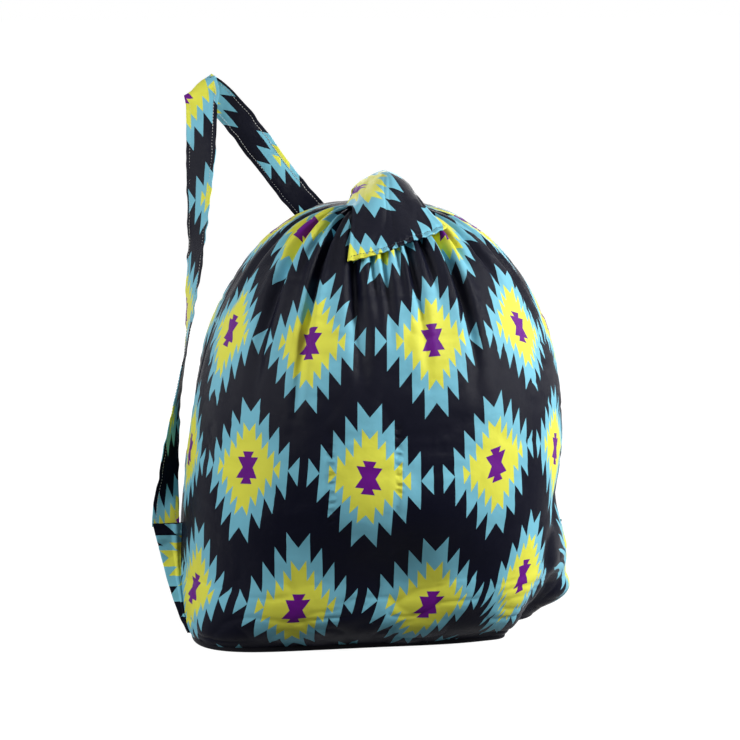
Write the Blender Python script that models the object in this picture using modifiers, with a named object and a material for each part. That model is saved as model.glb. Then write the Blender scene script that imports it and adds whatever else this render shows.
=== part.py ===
"""Foldable drawstring backpack of thin printed cloth, stuffed and standing on its boxed base.

Metres, +Z up. The front faces -Y, and the origin is the middle of the base, on the floor.
Each sewn piece is an object of its own. Cloth is drawn thicker than life, so that each
piece is a solid, and a sewn seam is a gap of SEAM_GAP between two pieces.
"""

import bpy
import numpy as np

# Driving sizes of the stuffed body
BASE_WIDTH = 0.332
BASE_DEPTH = 0.250
BELLY_WIDTH = 0.380
BELLY_DEPTH = 0.346
BELLY_HEIGHT = 0.075
NECK_HEIGHT = 0.418
MOUTH_WIDTH = 0.050
BODY_LEAN = 0.014
BODY_BOW = 0.010
SEAM_FORWARD = 0.36
BASE_FLARE = 2.2
DOME_FULLNESS = 0.69
CLOTH = 0.0012
SEAM_GAP = 0.0003

# Gathers: fine ruffles at the mouth, and long folds that run down from them
RUFFLES = 16
RUFFLE_DEPTH = 0.0022
FOLD_DEPTH = 0.0060

# Drawcord tunnel round the mouth, and the cord in it
CASING_HEIGHT = 0.021
CASING_BORE = 0.028
CORD_THICKNESS = 0.0036
CORD_PLAY = 0.0010

# Closing flap
FLAP_ROOT_ANGLE = 0.80
FLAP_CREST_WIDTH = 0.066
FLAP_HEM_WIDTH = 0.106
FLAP_CLOTH = 0.0016
FLAP_CLEARANCE = 0.0016
FLAP_LIFT = 0.0045
FLAP_SHIFT = 0.009
FLAP_HEM_DROP = 0.032
FLAP_SKEW = 0.011
FLAP_DROOP = 0.005

# Shoulder straps and their anchor tabs
STRAP_WIDTH = 0.031
STRAP_CLOTH = 0.0018
STRAP_ROOT_DROP = 0.038
STRAP_ROOT_SPREAD = 0.070
STRAP_ROOT_SPLAY = 0.016
STRAP_SEWN = 0.022
STRAP_LEFT_LIFT = 0.0032
STRAP_RIGHT_LIFT = 0.0016
STRAP_PEAK_OUT = 0.131
STRAP_PEAK_FORWARD = 0.012
STRAP_PEAK_RISE = 0.1485
STRAP_FOLD_GAP = 0.008
STRAP_CREASE = (0.84, 0.0, 0.54)
STRAP_BOW = 0.0078
STRAP_HANG = 0.022
STRAP_TUCK = 0.024
WING_HEIGHT = 0.101
WING_WIDTH = 0.030
WING_CLOTH = 0.0022

# Patch pocket inside the front
POCKET_WIDTH = 0.070
POCKET_HEIGHT = 0.110
POCKET_MIDDLE_HEIGHT = 0.180
POCKET_OFFSET = -0.012

# Fineness of the meshes
PANEL_COLUMNS = 48
LOW_ROWS = 5
HIGH_ROWS = 12
BASE_POINTS = 72
RUFFLE_POINTS = 4
POCKET_ROWS = 9
POCKET_COLUMNS = 13
FLAP_STRIPS = 11
FLAP_PITCH = 0.012
STRAP_PITCH = 0.017

# Angles are measured round the body's axis from the front, towards +X.
# Each long fold: its angle, depth as a share of FOLD_DEPTH, half width, and reach down.
LONG_FOLDS = (
    (-0.62, 1.0, 0.085, 0.85),
    (-0.22, 0.8, 0.070, 0.80),
    (0.02, 1.3, 0.080, 0.95),
    (0.30, 0.7, 0.065, 0.75),
    (0.72, 1.2, 0.090, 0.90),
    (1.15, 0.8, 0.085, 0.70),
    (-1.10, 0.8, 0.085, 0.70),
    (2.05, 0.9, 0.090, 0.80),
    (3.14, 0.8, 0.075, 0.60),
    (-2.05, 0.9, 0.090, 0.80),
)

# The flap over the mouth: reach behind the middle as a share of its root radius, share of
# the way from root to crest in width, and height over the casing.
FLAP_OVER = (
    (1.00, 0.00, -0.0160),
    (1.00, 0.00, -0.0052),
    (0.93, 0.00, -0.0014),
    (0.74, 0.10, 0.0010),
    (0.22, 0.60, 0.0016),
    (-0.50, 1.00, 0.0012),
)
# The flap down the front: share of the way to the hem, and lift in units of FLAP_LIFT.
FLAP_DOWN = ((0.40, 2.4), (0.72, 1.0), (1.00, 1.0))

# The standing strap on its way down: share of the way, and its turn in radians.
STRAP_TWIST = ((0.08, 0.20), (0.24, 0.80), (0.40, 1.15), (0.57, 1.57), (0.75, 1.95), (0.90, 2.45))
# The slack strap: angle, share of the neck's height, share of STRAP_HANG, width direction.
STRAP_SLACK = (
    (2.66, 0.720, 0.7, (1.0, 0.20, 0.1)),
    (2.70, 0.460, 1.0, (1.0, 0.25, 0.3)),
    (2.60, 0.270, 1.0, (0.7, 0.25, 0.7)),
    (2.30, 0.180, 0.8, (0.15, 0.05, 0.95)),
    (1.95, 0.165, 0.6, (0.0, 0.00, 1.0)),
)
# Its diagonal fold under the tab: metres back, up and out, and the width as back and up.
STRAP_FOLD = (
    (0.022, 0.000, 0.0022, (0.0, 1.0)),
    (0.004, 0.000, 0.0022, (-0.7, 1.0)),
    (0.000, -0.002, 0.0007, (-1.0, 0.5)),
    (0.000, 0.008, 0.0000, (-1.0, 0.0)),
)


def smooth(t):
    """0 below 0, 1 above 1, and a smooth S between."""
    t = np.clip(t, 0.0, 1.0)
    return t * t * (3.0 - 2.0 * t)


def girth(level):
    """Half width, half depth, squareness and height at a level: 0 base, 1 belly, 2 neck."""
    low = np.clip(level, 0.0, 1.0)
    high = np.clip(level - 1.0, 0.0, 1.0) * np.pi / 2
    flare = (1.0 - low) ** BASE_FLARE
    shoulder = np.cos(high)
    half_width = BELLY_WIDTH / 2 - (BELLY_WIDTH - BASE_WIDTH) / 2 * flare
    half_width = half_width - (BELLY_WIDTH - MOUTH_WIDTH) / 2 * (1.0 - shoulder)
    half_depth = BELLY_DEPTH / 2 - (BELLY_DEPTH - BASE_DEPTH) / 2 * flare
    half_depth = half_depth - (BELLY_DEPTH - MOUTH_WIDTH) / 2 * (1.0 - shoulder)
    squareness = 2.0 + 0.5 * shoulder + 1.5 * (1.0 - low) ** 1.5
    height = BELLY_HEIGHT * low + (NECK_HEIGHT - BELLY_HEIGHT) * np.sin(high) ** DOME_FULLNESS
    return half_width, half_depth, squareness, height


def gathers(angle, level):
    """How far the cloth stands in or out of the smooth body: ruffles and long folds."""
    near_mouth = smooth((level - 1.60) / 0.35)
    offset = -RUFFLE_DEPTH * near_mouth * np.cos(RUFFLES * angle)
    for middle, share, spread, reach in LONG_FOLDS:
        away = (angle - middle + np.pi) % (2 * np.pi) - np.pi
        groove = np.exp(-((away / spread) ** 2)) - 0.45 * np.exp(-((away / (2 * spread)) ** 2))
        run = smooth((level - (2.0 - reach)) / 0.35) * smooth((2.02 - level) / 0.25)
        offset = offset - FOLD_DEPTH * share * run * groove
    return offset


def body_middle(height):
    """How far to the right the stuffed body leans at a height."""
    rise = np.clip((height - BELLY_HEIGHT) / (NECK_HEIGHT - BELLY_HEIGHT), 0.0, 1.0)
    return BODY_LEAN * smooth(height / BELLY_HEIGHT) + BODY_BOW * np.sin(0.75 * np.pi * rise)


def body(angle, level):
    """The outer face of the stuffed body: a rounded-square section carried up a dome."""
    angle, level = np.broadcast_arrays(np.asarray(angle, float), np.asarray(level, float))
    half_width, half_depth, squareness, height = girth(level)
    across = np.abs(np.sin(angle) / half_width) ** squareness
    along = np.abs(np.cos(angle) / half_depth) ** squareness
    radius = (across + along) ** (-1.0 / squareness) + gathers(angle, level)
    return np.stack([body_middle(height) + radius * np.sin(angle), -radius * np.cos(angle), height], -1)


def off_body(angle, level, lift):
    """A point at a distance from the body's outer face, outwards for a positive lift."""
    step = 1e-3
    around = body(angle + step, level) - body(angle - step, level)
    up = body(angle, level + step) - body(angle, level - step)
    normal = np.cross(around, up)
    normal /= np.linalg.norm(normal, axis=-1, keepdims=True)
    return body(angle, level) + normal * np.asarray(lift)[..., None]


def level_at(height):
    """The level at which the body reaches a height."""
    levels = np.linspace(0.0, 2.0, 801)
    return float(np.interp(height, girth(levels)[3], levels))


def seam_angle(level):
    """Each side seam comes forward as it nears the base."""
    return np.pi / 2 - SEAM_FORWARD * (1.0 - smooth(level))


def smooth_path(points, pitch):
    """A smooth curve through every point, in cubic spans cut into steps of about pitch."""
    points = np.asarray(points, float)
    lengths = np.linalg.norm(np.diff(points[:, :3], axis=0), axis=1)
    knots = np.concatenate([[0.0], np.cumsum(lengths)])
    slopes = np.gradient(points, knots, axis=0)
    rows = [points[:1]]
    for span, length in enumerate(lengths):
        steps = max(1, round(length / pitch))
        t = (np.arange(1, steps + 1) / steps)[:, None]
        start = (1 + 2 * t) * (1 - t) ** 2 * points[span] + t * (1 - t) ** 2 * slopes[span] * length
        finish = t**2 * (3 - 2 * t) * points[span + 1] - t**2 * (1 - t) * slopes[span + 1] * length
        rows.append(start + finish)
    return np.concatenate(rows)


def unit(vectors):
    return vectors / np.linalg.norm(vectors, axis=-1, keepdims=True)


def cloth_material(name, colour, roughness):
    material = bpy.data.materials.new(name)
    material.use_nodes = True
    shader = material.node_tree.nodes["Principled BSDF"]
    shader.inputs["Base Color"].default_value = (*colour, 1.0)
    shader.inputs["Roughness"].default_value = roughness
    shader.inputs["Metallic"].default_value = 0.0
    return material


def add_mesh(name, points, faces, material):
    mesh = bpy.data.meshes.new(name)
    mesh.from_pydata([tuple(point) for point in points], [], faces)
    mesh.validate()
    mesh.materials.append(material)
    mesh.shade_smooth()
    piece = bpy.data.objects.new(name, mesh)
    collection.objects.link(piece)
    return piece


def add_sheet(name, grid, thickness, offset, material, closed=False, even=True):
    """A sheet from a grid of points (rows, columns), given its thickness by Solidify."""
    rows, columns = grid.shape[:2]
    last = columns if closed else columns - 1
    faces = [
        (
            row * columns + column,
            row * columns + (column + 1) % columns,
            (row + 1) * columns + (column + 1) % columns,
            (row + 1) * columns + column,
        )
        for row in range(rows - 1)
        for column in range(last)
    ]
    piece = add_mesh(name, grid.reshape(-1, 3), faces, material)
    solidify = piece.modifiers.new("cloth", "SOLIDIFY")
    solidify.thickness = thickness
    solidify.offset = offset
    solidify.use_even_offset = even
    solidify.use_rim = True
    return piece


def body_levels():
    """Rows up the body: closer together at the base and towards the mouth."""
    low = np.linspace(0.0, 1.0, LOW_ROWS + 1)[:-1] ** 1.2
    high = 1.0 + np.linspace(0.0, 1.0, HIGH_ROWS)
    return np.concatenate([low, high])


def make_panel(name, facing, material):
    """Front (facing 0) or back (facing pi) of the body, from side seam to side seam."""
    levels = body_levels()[:, None]
    share = np.linspace(-1.0, 1.0, PANEL_COLUMNS + 1)[None, :]
    half = seam_angle(levels) if facing == 0.0 else np.pi - seam_angle(levels)
    half_gap = SEAM_GAP / girth(levels)[0]
    return add_sheet(name, body(facing + share * (half - half_gap), levels), CLOTH, -1.0, material)


def make_base(material):
    """Flat boxed bottom: the body's outline at the floor, less the wall round it."""
    angle = np.linspace(0.0, 2 * np.pi, BASE_POINTS, endpoint=False)
    inset = CLOTH + 2 * SEAM_GAP
    outward = np.stack([np.sin(angle), -np.cos(angle)], -1)
    flat = body(angle, 0.0)[:, :2] - inset * outward
    curve = bpy.data.curves.new("base_panel", "CURVE")
    curve.dimensions = "2D"
    curve.fill_mode = "BOTH"
    curve.extrude = CLOTH / 2
    spline = curve.splines.new("POLY")
    spline.points.add(len(flat) - 1)
    for point, place in zip(spline.points, flat):
        point.co = (place[0], place[1], 0.0, 1.0)
    spline.use_cyclic_u = True
    curve.materials.append(material)
    piece = bpy.data.objects.new("base_panel", curve)
    piece.location.z = CLOTH / 2
    collection.objects.link(piece)
    return piece


def mouth_ring(radius_offset, height_offset, angle):
    """A ring of cloth at the mouth, ruffled in step with the neck below it."""
    ruffle = -RUFFLE_DEPTH * np.cos(RUFFLES * angle)
    radius = radius_offset + ruffle
    height = np.full_like(angle, NECK_HEIGHT + height_offset)
    return np.stack([body_middle(NECK_HEIGHT) + radius * np.sin(angle), -radius * np.cos(angle), height], -1)


def make_casing(material):
    """Hem turned over the drawcord: an arch in section, carried round the mouth."""
    angle = np.linspace(0.0, 2 * np.pi, RUFFLE_POINTS * RUFFLES, endpoint=False)
    outer = MOUTH_WIDTH / 2
    inner = CASING_BORE / 2
    middle = (outer + inner) / 2
    half = (outer - inner) / 2
    foot = 2 * SEAM_GAP
    straight = CASING_HEIGHT - half
    rings = [mouth_ring(outer, foot, angle)]
    for turn in np.linspace(0.0, np.pi, 5):
        reach = middle + half * np.cos(turn)
        rings.append(mouth_ring(reach, foot + straight + half * np.sin(turn), angle))
    rings.append(mouth_ring(inner, foot + straight * 0.35, angle))
    return add_sheet("mouth_casing", np.array(rings), CLOTH, -1.0, material, closed=True)


def make_drawcord(material):
    """The ring of cord that lies in the crown of the casing."""
    middle = (MOUTH_WIDTH + CASING_BORE) / 4
    crown = CASING_HEIGHT - CLOTH - CORD_THICKNESS / 2 - CORD_PLAY
    angle = np.linspace(0.0, 2 * np.pi, RUFFLE_POINTS * RUFFLES, endpoint=False)
    path = mouth_ring(middle, crown, angle)
    curve = bpy.data.curves.new("drawcord", "CURVE")
    curve.dimensions = "3D"
    curve.bevel_depth = CORD_THICKNESS / 2
    curve.bevel_resolution = 1
    spline = curve.splines.new("POLY")
    spline.points.add(len(path) - 1)
    for point, place in zip(spline.points, path):
        point.co = (*place, 1.0)
    spline.use_cyclic_u = True
    curve.materials.append(material)
    piece = bpy.data.objects.new("drawcord", curve)
    collection.objects.link(piece)
    return piece


def flap_strip(across):
    """One lengthwise line of the flap: up behind the casing, over it and down the front."""
    top = NECK_HEIGHT + CASING_HEIGHT + FLAP_CLEARANCE + FLAP_CLOTH / 2
    radius = MOUTH_WIDTH / 2 + RUFFLE_DEPTH + 2 * SEAM_GAP + FLAP_CLOTH / 2
    middle = body_middle(NECK_HEIGHT)
    turn = across * FLAP_ROOT_ANGLE
    crest_half = FLAP_CREST_WIDTH / 2
    crest_x = middle + FLAP_SHIFT / 2 + across * crest_half
    droop = FLAP_DROOP * np.clip(5 * abs(across) - 4, 0.0, 1.0)
    route = []
    for reach, spread, rise in FLAP_OVER:
        narrow = middle + radius * np.sin(turn) * min(1.0, reach + 0.12)
        x = narrow + (crest_x - narrow) * spread
        route.append((x, radius * reach * np.cos(turn), top + rise - droop * spread**3))
    hem_level = level_at(NECK_HEIGHT - FLAP_HEM_DROP + FLAP_SKEW * across)
    for share, lift in FLAP_DOWN:
        level = 2.0 - (2.0 - hem_level) * share
        half = crest_half + (FLAP_HEM_WIDTH / 2 - crest_half) * share
        angle = np.arcsin((across * half + FLAP_SHIFT) / (girth(level)[0] + FLAP_LIFT))
        route.append(off_body(angle, np.array(level), np.array(FLAP_LIFT * lift + FLAP_CLOTH)))
    return route


def make_flap(material):
    """Double cloth sewn behind the casing and folded forward over the closed mouth."""
    routes = np.array([flap_strip(across) for across in np.linspace(-1.0, 1.0, FLAP_STRIPS)])
    rows = smooth_path(routes.transpose(1, 0, 2).reshape(routes.shape[1], -1), FLAP_PITCH)
    grid = rows.reshape(len(rows), -1, 3)
    return add_sheet("closing_flap", grid, FLAP_CLOTH, 0.0, material)


def tab_direction(side):
    """Which way each anchor tab lies: the left one stands out, the right one lies back."""
    return np.array([-1.0, 0.0, 0.0]) if side < 0 else np.array([0.30, 0.954, 0.0])


def tab_seam(side, share):
    """Points along the side seam, 0 at the floor and 1 at the top of the anchor tab."""
    level = np.array([level_at(height) for height in WING_HEIGHT * share])
    lift = 3 * SEAM_GAP + (WING_CLOTH / 2 if side > 0 else 0.0)
    return off_body(side * seam_angle(level), level, np.full(len(share), lift))


def make_wing(side, name, material):
    """Triangular tab: one edge sewn along the side seam, its top edge takes the strap."""
    share = np.linspace(0.06, 1.0, 10)
    seam = tab_seam(side, share)
    width = WING_WIDTH * np.clip(share, 0.12, 1.0)[:, None]
    rows = [seam + width * across * tab_direction(side) for across in np.linspace(0.0, 1.0, 4)]
    return add_sheet(name, np.array(rows), WING_CLOTH, 0.0, material)


def ribbon(name, route, sides, material):
    """A flat strap: a centre route, and the direction of its width at each route point."""
    frames = smooth_path(np.hstack([route, unit(np.asarray(sides, float))]), STRAP_PITCH)
    side = unit(frames[:, 3:]) * STRAP_WIDTH / 2
    grid = np.array([frames[:, :3] + t * side for t in (-1.0, 0.0, 1.0)]).transpose(1, 0, 2)
    return add_sheet(name, grid, STRAP_CLOTH, 0.0, material, even=False)


def strap_root(side, splay, lift):
    """The sewn end of a strap on the back: its low and high points, and its width there."""
    angles = []
    levels = []
    for drop, inward in ((STRAP_SEWN, splay), (0.0, 0.0)):
        levels.append(level_at(NECK_HEIGHT - STRAP_ROOT_DROP - drop))
        reach = STRAP_ROOT_SPREAD / 2 - inward
        angles.append(np.pi - side * np.arcsin(reach / girth(levels[-1])[1]))
    low, high = off_body(np.array(angles), np.array(levels), np.full(2, lift))
    skin = body(angles[1], levels[1])
    return low, high, np.cross(high - skin, high - low)


def strap_end(side):
    """Middle of an anchor tab's top edge, where the strap's lower end is sewn in."""
    top = tab_seam(side, np.array([1.0]))[0] + tab_direction(side) * WING_WIDTH / 2
    return top + np.array([0.0, 0.0, 2 * SEAM_GAP])


def make_strap_left(material):
    """Stands up: from the back to a folded peak, then down, half a turn, to its tab."""
    low, high, root_side = strap_root(-1, STRAP_ROOT_SPLAY, STRAP_LEFT_LIFT)
    end = strap_end(-1)
    peak = high + np.array([-STRAP_PEAK_OUT, -STRAP_PEAK_FORWARD, STRAP_PEAK_RISE])
    rise = peak - high
    front = np.array([0.0, -STRAP_FOLD_GAP, 0.0])
    drop = end - peak - front
    square = np.cross((0.0, 1.0, 0.0), rise)
    route = [low, high, high + 0.25 * rise, high + 0.60 * rise, high + 0.92 * rise]
    sides = [root_side, root_side, square, square, square]
    crest = np.array([-0.001, 0.0, 0.003])
    route += [peak + 0.2 * front + crest, peak + 0.8 * front + crest]
    sides += [STRAP_CREASE, STRAP_CREASE]
    for share, turn in STRAP_TWIST:
        bow = np.array([STRAP_BOW * np.sin(np.pi * share**0.8), 0.0, 0.0])
        route.append(peak + front + share * drop + bow)
        sides.append((np.cos(turn), -np.sin(turn), 0.0))
    route.append(end)
    sides.append((-1.0, 0.0, 0.0))
    return ribbon("strap_left", route, sides, material)


def make_strap_right(material):
    """Slack: down behind the body, forward round its side, and folded up to its tab."""
    low, high, root_side = strap_root(1, -STRAP_ROOT_SPLAY / 2, STRAP_RIGHT_LIFT)
    end = strap_end(1)
    back = tab_direction(1)
    out = np.array([back[1], -back[0], 0.0])
    up = np.array([0.0, 0.0, 1.0])
    route = [high, low]
    sides = [root_side, root_side]
    for angle, share, hang, side in STRAP_SLACK:
        level = np.array(level_at(NECK_HEIGHT * share))
        route.append(off_body(np.array(angle), level, np.array(STRAP_HANG * hang)))
        sides.append(side)
    beside = (WING_CLOTH + STRAP_CLOTH) / 2 + 2 * SEAM_GAP
    fold = end + beside * out - STRAP_TUCK * up
    for behind, rise, clear, (side_back, side_up) in STRAP_FOLD:
        route.append(fold + behind * back + rise * up + clear * out)
        sides.append(side_back * back + side_up * up)
    for share, rise in ((1.0, 0.0), (0.6, 0.0035), (0.0, 0.003), (0.0, 0.0)):
        route.append(end + share * beside * out + rise * up)
        sides.append(-back)
    return ribbon("strap_right", route, sides, material)


def make_pocket(material):
    """Patch pocket lying against the inside of the front panel."""
    low = level_at(POCKET_MIDDLE_HEIGHT - POCKET_HEIGHT / 2)
    high = level_at(POCKET_MIDDLE_HEIGHT + POCKET_HEIGHT / 2)
    levels = np.linspace(low, high, POCKET_ROWS)[:, None]
    half = np.arcsin(POCKET_WIDTH / BELLY_DEPTH)
    middle = POCKET_OFFSET / (BELLY_DEPTH / 2)
    angle = middle + np.linspace(-half, half, POCKET_COLUMNS)[None, :]
    angle, levels = np.broadcast_arrays(angle, levels)
    inside = -(CLOTH + 4 * SEAM_GAP)
    grid = off_body(angle, levels, np.full(angle.shape, inside))
    return add_sheet("inner_pocket", grid, CLOTH, -1.0, material)


for leftover in list(bpy.data.objects):
    bpy.data.objects.remove(leftover, do_unlink=True)

collection = bpy.data.collections.new("drawstring_backpack")
bpy.context.scene.collection.children.link(collection)

PRINT_GROUND = (0.012, 0.012, 0.022)
make_panel("front_panel", 0.0, cloth_material("front_cloth", PRINT_GROUND, 0.42))
make_panel("back_panel", np.pi, cloth_material("back_cloth", PRINT_GROUND, 0.42))
make_base(cloth_material("base_cloth", (0.02, 0.02, 0.026), 0.55))
make_casing(cloth_material("casing_cloth", PRINT_GROUND, 0.45))
make_drawcord(cloth_material("cord_braid", (0.03, 0.03, 0.035), 0.7))
make_flap(cloth_material("flap_cloth", (0.46, 0.50, 0.10), 0.42))
make_strap_left(cloth_material("strap_left_cloth", (0.20, 0.47, 0.60), 0.45))
make_strap_right(cloth_material("strap_right_cloth", (0.20, 0.47, 0.60), 0.45))
make_wing(-1, "wing_left", cloth_material("wing_left_cloth", (0.20, 0.47, 0.60), 0.45))
make_wing(1, "wing_right", cloth_material("wing_right_cloth", (0.20, 0.47, 0.60), 0.45))
make_pocket(cloth_material("pocket_cloth", (0.02, 0.02, 0.03), 0.6))
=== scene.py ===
"""Foldable drawstring backpack of thin printed nylon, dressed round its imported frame."""

import math

import bpy
import numpy as np
from mathutils import Matrix, Vector


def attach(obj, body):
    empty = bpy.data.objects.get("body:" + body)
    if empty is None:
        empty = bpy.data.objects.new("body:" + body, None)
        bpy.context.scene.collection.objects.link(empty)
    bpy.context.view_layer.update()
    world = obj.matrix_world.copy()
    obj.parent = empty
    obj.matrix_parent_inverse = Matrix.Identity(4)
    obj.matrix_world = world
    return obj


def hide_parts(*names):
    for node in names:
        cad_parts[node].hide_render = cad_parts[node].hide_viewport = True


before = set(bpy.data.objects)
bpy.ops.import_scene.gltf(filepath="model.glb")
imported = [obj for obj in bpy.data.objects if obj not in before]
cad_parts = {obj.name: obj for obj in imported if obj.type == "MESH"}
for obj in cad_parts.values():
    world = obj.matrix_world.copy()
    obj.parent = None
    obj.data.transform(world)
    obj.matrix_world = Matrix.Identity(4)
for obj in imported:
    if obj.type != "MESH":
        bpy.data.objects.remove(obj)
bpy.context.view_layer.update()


# Camera
# A long lens, a little above the bag and round to its left, as in the photograph. The
# picture is square, PHOTO pixels wide, and FOCAL is the lens's length in those pixels.
PHOTO = 740
FOCAL = 2400
SENSOR = 36.0
CAMERA_AZIMUTH = math.radians(-9.0)
CAMERA_RISE = math.radians(10.0)
CAMERA_DISTANCE = 2.4
CAMERA_TARGET = Vector((0.0161, 0.0008, 0.25))


def put_in_scene(name, data):
    """A new object at the origin, linked to the scene."""
    made = bpy.data.objects.new(name, data)
    bpy.context.scene.collection.objects.link(made)
    return made


right = Vector((math.cos(CAMERA_AZIMUTH), math.sin(CAMERA_AZIMUTH), 0.0))
level_back = Vector((math.sin(CAMERA_AZIMUTH), -math.cos(CAMERA_AZIMUTH), 0.0))
back = level_back * math.cos(CAMERA_RISE) + Vector((0.0, 0.0, math.sin(CAMERA_RISE)))
camera_data = bpy.data.cameras.new("camera")
camera_data.sensor_width = SENSOR
camera_data.lens = FOCAL / PHOTO * SENSOR
camera = put_in_scene("camera", camera_data)
camera.matrix_world = Matrix.Translation(CAMERA_TARGET + CAMERA_DISTANCE * back) @ Matrix(
    (right, back.cross(right), back)
).transposed().to_4x4()
bpy.context.scene.camera = camera


# Body cloth
# The sack's front and back: thin printed nylon, sewn to each other along the two sides,
# gathered into the mouth at the top and sewn to the base. The stuffing rounds it out.
BASE_WIDTH = 0.332
BASE_DEPTH = 0.250
BELLY_WIDTH = 0.380
BELLY_DEPTH = 0.346
BELLY_HEIGHT = 0.075
NECK_HEIGHT = 0.418
MOUTH_WIDTH = 0.050
BODY_LEAN = 0.014
BODY_BOW = 0.010
SEAM_FORWARD = 0.36
SEAM_FORWARD_RIGHT = -0.12
BASE_FLARE = 2.2
DOME_FULLNESS = 0.69
# How much squarer than an ellipse the section is below the neck, and how much more at the
# floor, where it fades by the power BASE_FADE.
BELLY_SQUARENESS = 0.5
BASE_SQUARENESS = 1.5
BASE_FADE = 1.5
CLOTH = 0.0004
FOOT = 0.0012
PANEL_COLUMNS = 250
PANEL_ROWS = 170
BELLY_ROWS = 46
RUFFLES = 16
RUFFLE_DEPTH = 0.0022
RUFFLE_FOOT = 1.75
# A long fold is FOLD_STRENGTH times its depth, with ridges beside it FOLD_RIDGE as strong. It
# grows down from the level MOUTH_CALM over MOUTH_FADE, and fades over FOLD_FADE of its reach.
FOLD_STRENGTH = 1.7
FOLD_RIDGE = 0.45
FOLD_FADE = 0.45
MOUTH_CALM = 2.03
MOUTH_FADE = 0.22

# Long folds that run down from the mouth: angle at the mouth, angle at the foot of the
# fold, depth, half width in radians, and how far down it reaches in levels.
LONG_FOLDS = (
    (-1.38, -1.30, 0.0045, 0.060, 0.70),
    (-1.17, -1.12, 0.0050, 0.040, 0.45),
    (-1.02, -0.84, 0.0095, 0.052, 0.85),
    (-0.84, -0.74, 0.0050, 0.036, 0.50),
    (-0.67, -0.59, 0.0110, 0.034, 0.85),
    (-0.48, -0.22, 0.0085, 0.050, 0.80),
    (-0.31, -0.13, 0.0050, 0.030, 0.62),
    (-0.14, -0.06, 0.0050, 0.034, 0.70),
    (0.02, 0.04, 0.0040, 0.030, 0.55),
    (0.14, 0.14, 0.0055, 0.038, 0.78),
    (0.32, 0.28, 0.0050, 0.036, 0.60),
    (0.55, 0.42, 0.0095, 0.046, 0.82),
    (0.72, 0.60, 0.0055, 0.034, 0.50),
    (0.90, 0.80, 0.0050, 0.045, 0.62),
    (1.12, 1.02, 0.0055, 0.050, 0.70),
    (1.45, 1.40, 0.0045, 0.055, 0.60),
    (1.85, 1.92, 0.0050, 0.060, 0.75),
    (2.20, 2.15, 0.0060, 0.060, 0.85),
    (2.50, 2.46, 0.0045, 0.045, 0.55),
    (2.80, 2.76, 0.0045, 0.050, 0.60),
    (3.20, 3.26, 0.0055, 0.055, 0.80),
    (-2.85, -2.92, 0.0045, 0.045, 0.55),
    (-2.62, -2.66, 0.0050, 0.050, 0.65),
    (-2.25, -2.20, 0.0060, 0.060, 0.85),
    (-1.80, -1.84, 0.0050, 0.055, 0.70),
)
# Dents and swellings of the stuffed body: angle, height, depth (out is positive), and the
# half widths in radians and metres. The first eleven shape the soft bulge low on the right,
# the valley before it, the corner of the base that stands out below, and the side above.
SWELLS = (
    (1.47, 0.060, 0.0110, 0.24, 0.036),
    (1.45, 0.200, -0.0035, 0.35, 0.080),
    (1.42, 0.020, 0.0120, 0.18, 0.022),
    (1.62, 0.020, 0.0270, 0.30, 0.022),
    (1.10, 0.010, -0.0340, 0.15, 0.034),
    (1.10, 0.118, -0.0060, 0.07, 0.022),
    (0.99, 0.078, -0.0080, 0.07, 0.025),
    (0.88, 0.044, -0.0070, 0.07, 0.020),
    (0.84, 0.004, 0.0030, 0.07, 0.012),
    (1.30, 0.135, -0.0070, 0.40, 0.035),
    (1.35, 0.290, 0.0040, 0.40, 0.060),
    (-1.00, 0.000, 0.0110, 0.30, 0.030),
    (-1.05, 0.075, -0.0020, 0.22, 0.030),
    (0.00, 0.068, -0.0180, 0.42, 0.044),
    (0.00, 0.150, 0.0100, 0.45, 0.046),
    (0.15, 0.025, 0.0020, 0.50, 0.025),
    (-0.55, 0.250, 0.0015, 0.30, 0.060),
    (2.60, 0.120, 0.0040, 0.50, 0.070),
    (-2.40, 0.200, -0.0030, 0.40, 0.080),
)


def smooth(t):
    """0 below 0, 1 above 1, and a smooth S between: 3 t squared less 2 t cubed."""
    t = np.clip(t, 0.0, 1.0)
    return t * t * (3.0 - 2.0 * t)


def bell(x):
    """A bell curve: e to the power of minus x squared."""
    return np.exp(-(x**2))


def turn_between(angle, middle):
    """The signed turn from middle to angle, taken the short way round."""
    return (angle - middle + np.pi) % (2 * np.pi) - np.pi


def unit(vectors):
    """Each vector divided by its length."""
    return vectors / np.linalg.norm(vectors, axis=-1, keepdims=True)


def girth(level):
    """Half width, half depth, squareness and height at a level: 0 base, 1 belly, 2 neck.
    Below the belly the width flares by a power law; above it both follow a quarter turn."""
    low = np.clip(level, 0.0, 1.0)
    high = np.clip(level - 1.0, 0.0, 1.0) * np.pi / 2
    flare = (1.0 - low) ** BASE_FLARE
    shoulder = np.cos(high)
    halves = [
        belly / 2 - (belly - base) / 2 * flare - (belly - MOUTH_WIDTH) / 2 * (1.0 - shoulder)
        for base, belly in ((BASE_WIDTH, BELLY_WIDTH), (BASE_DEPTH, BELLY_DEPTH))
    ]
    squareness = 2.0 + BELLY_SQUARENESS * shoulder + BASE_SQUARENESS * (1.0 - low) ** BASE_FADE
    height = BELLY_HEIGHT * low + (NECK_HEIGHT - BELLY_HEIGHT) * np.sin(high) ** DOME_FULLNESS
    return *halves, squareness, height


def body_middle(height):
    """How far to the right the stuffed body leans at a height."""
    rise = np.clip((height - BELLY_HEIGHT) / (NECK_HEIGHT - BELLY_HEIGHT), 0.0, 1.0)
    return BODY_LEAN * smooth(height / BELLY_HEIGHT) + BODY_BOW * np.sin(0.75 * np.pi * rise)


def swell(angle, height):
    """The sum of the broad dents and swellings, each a bell in angle and in height."""
    total = 0.0
    for middle, rise, depth, wide, tall in SWELLS:
        beside = bell(turn_between(angle, middle) / wide)
        total = total + depth * beside * bell((height - rise) / tall)
    return total


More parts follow.
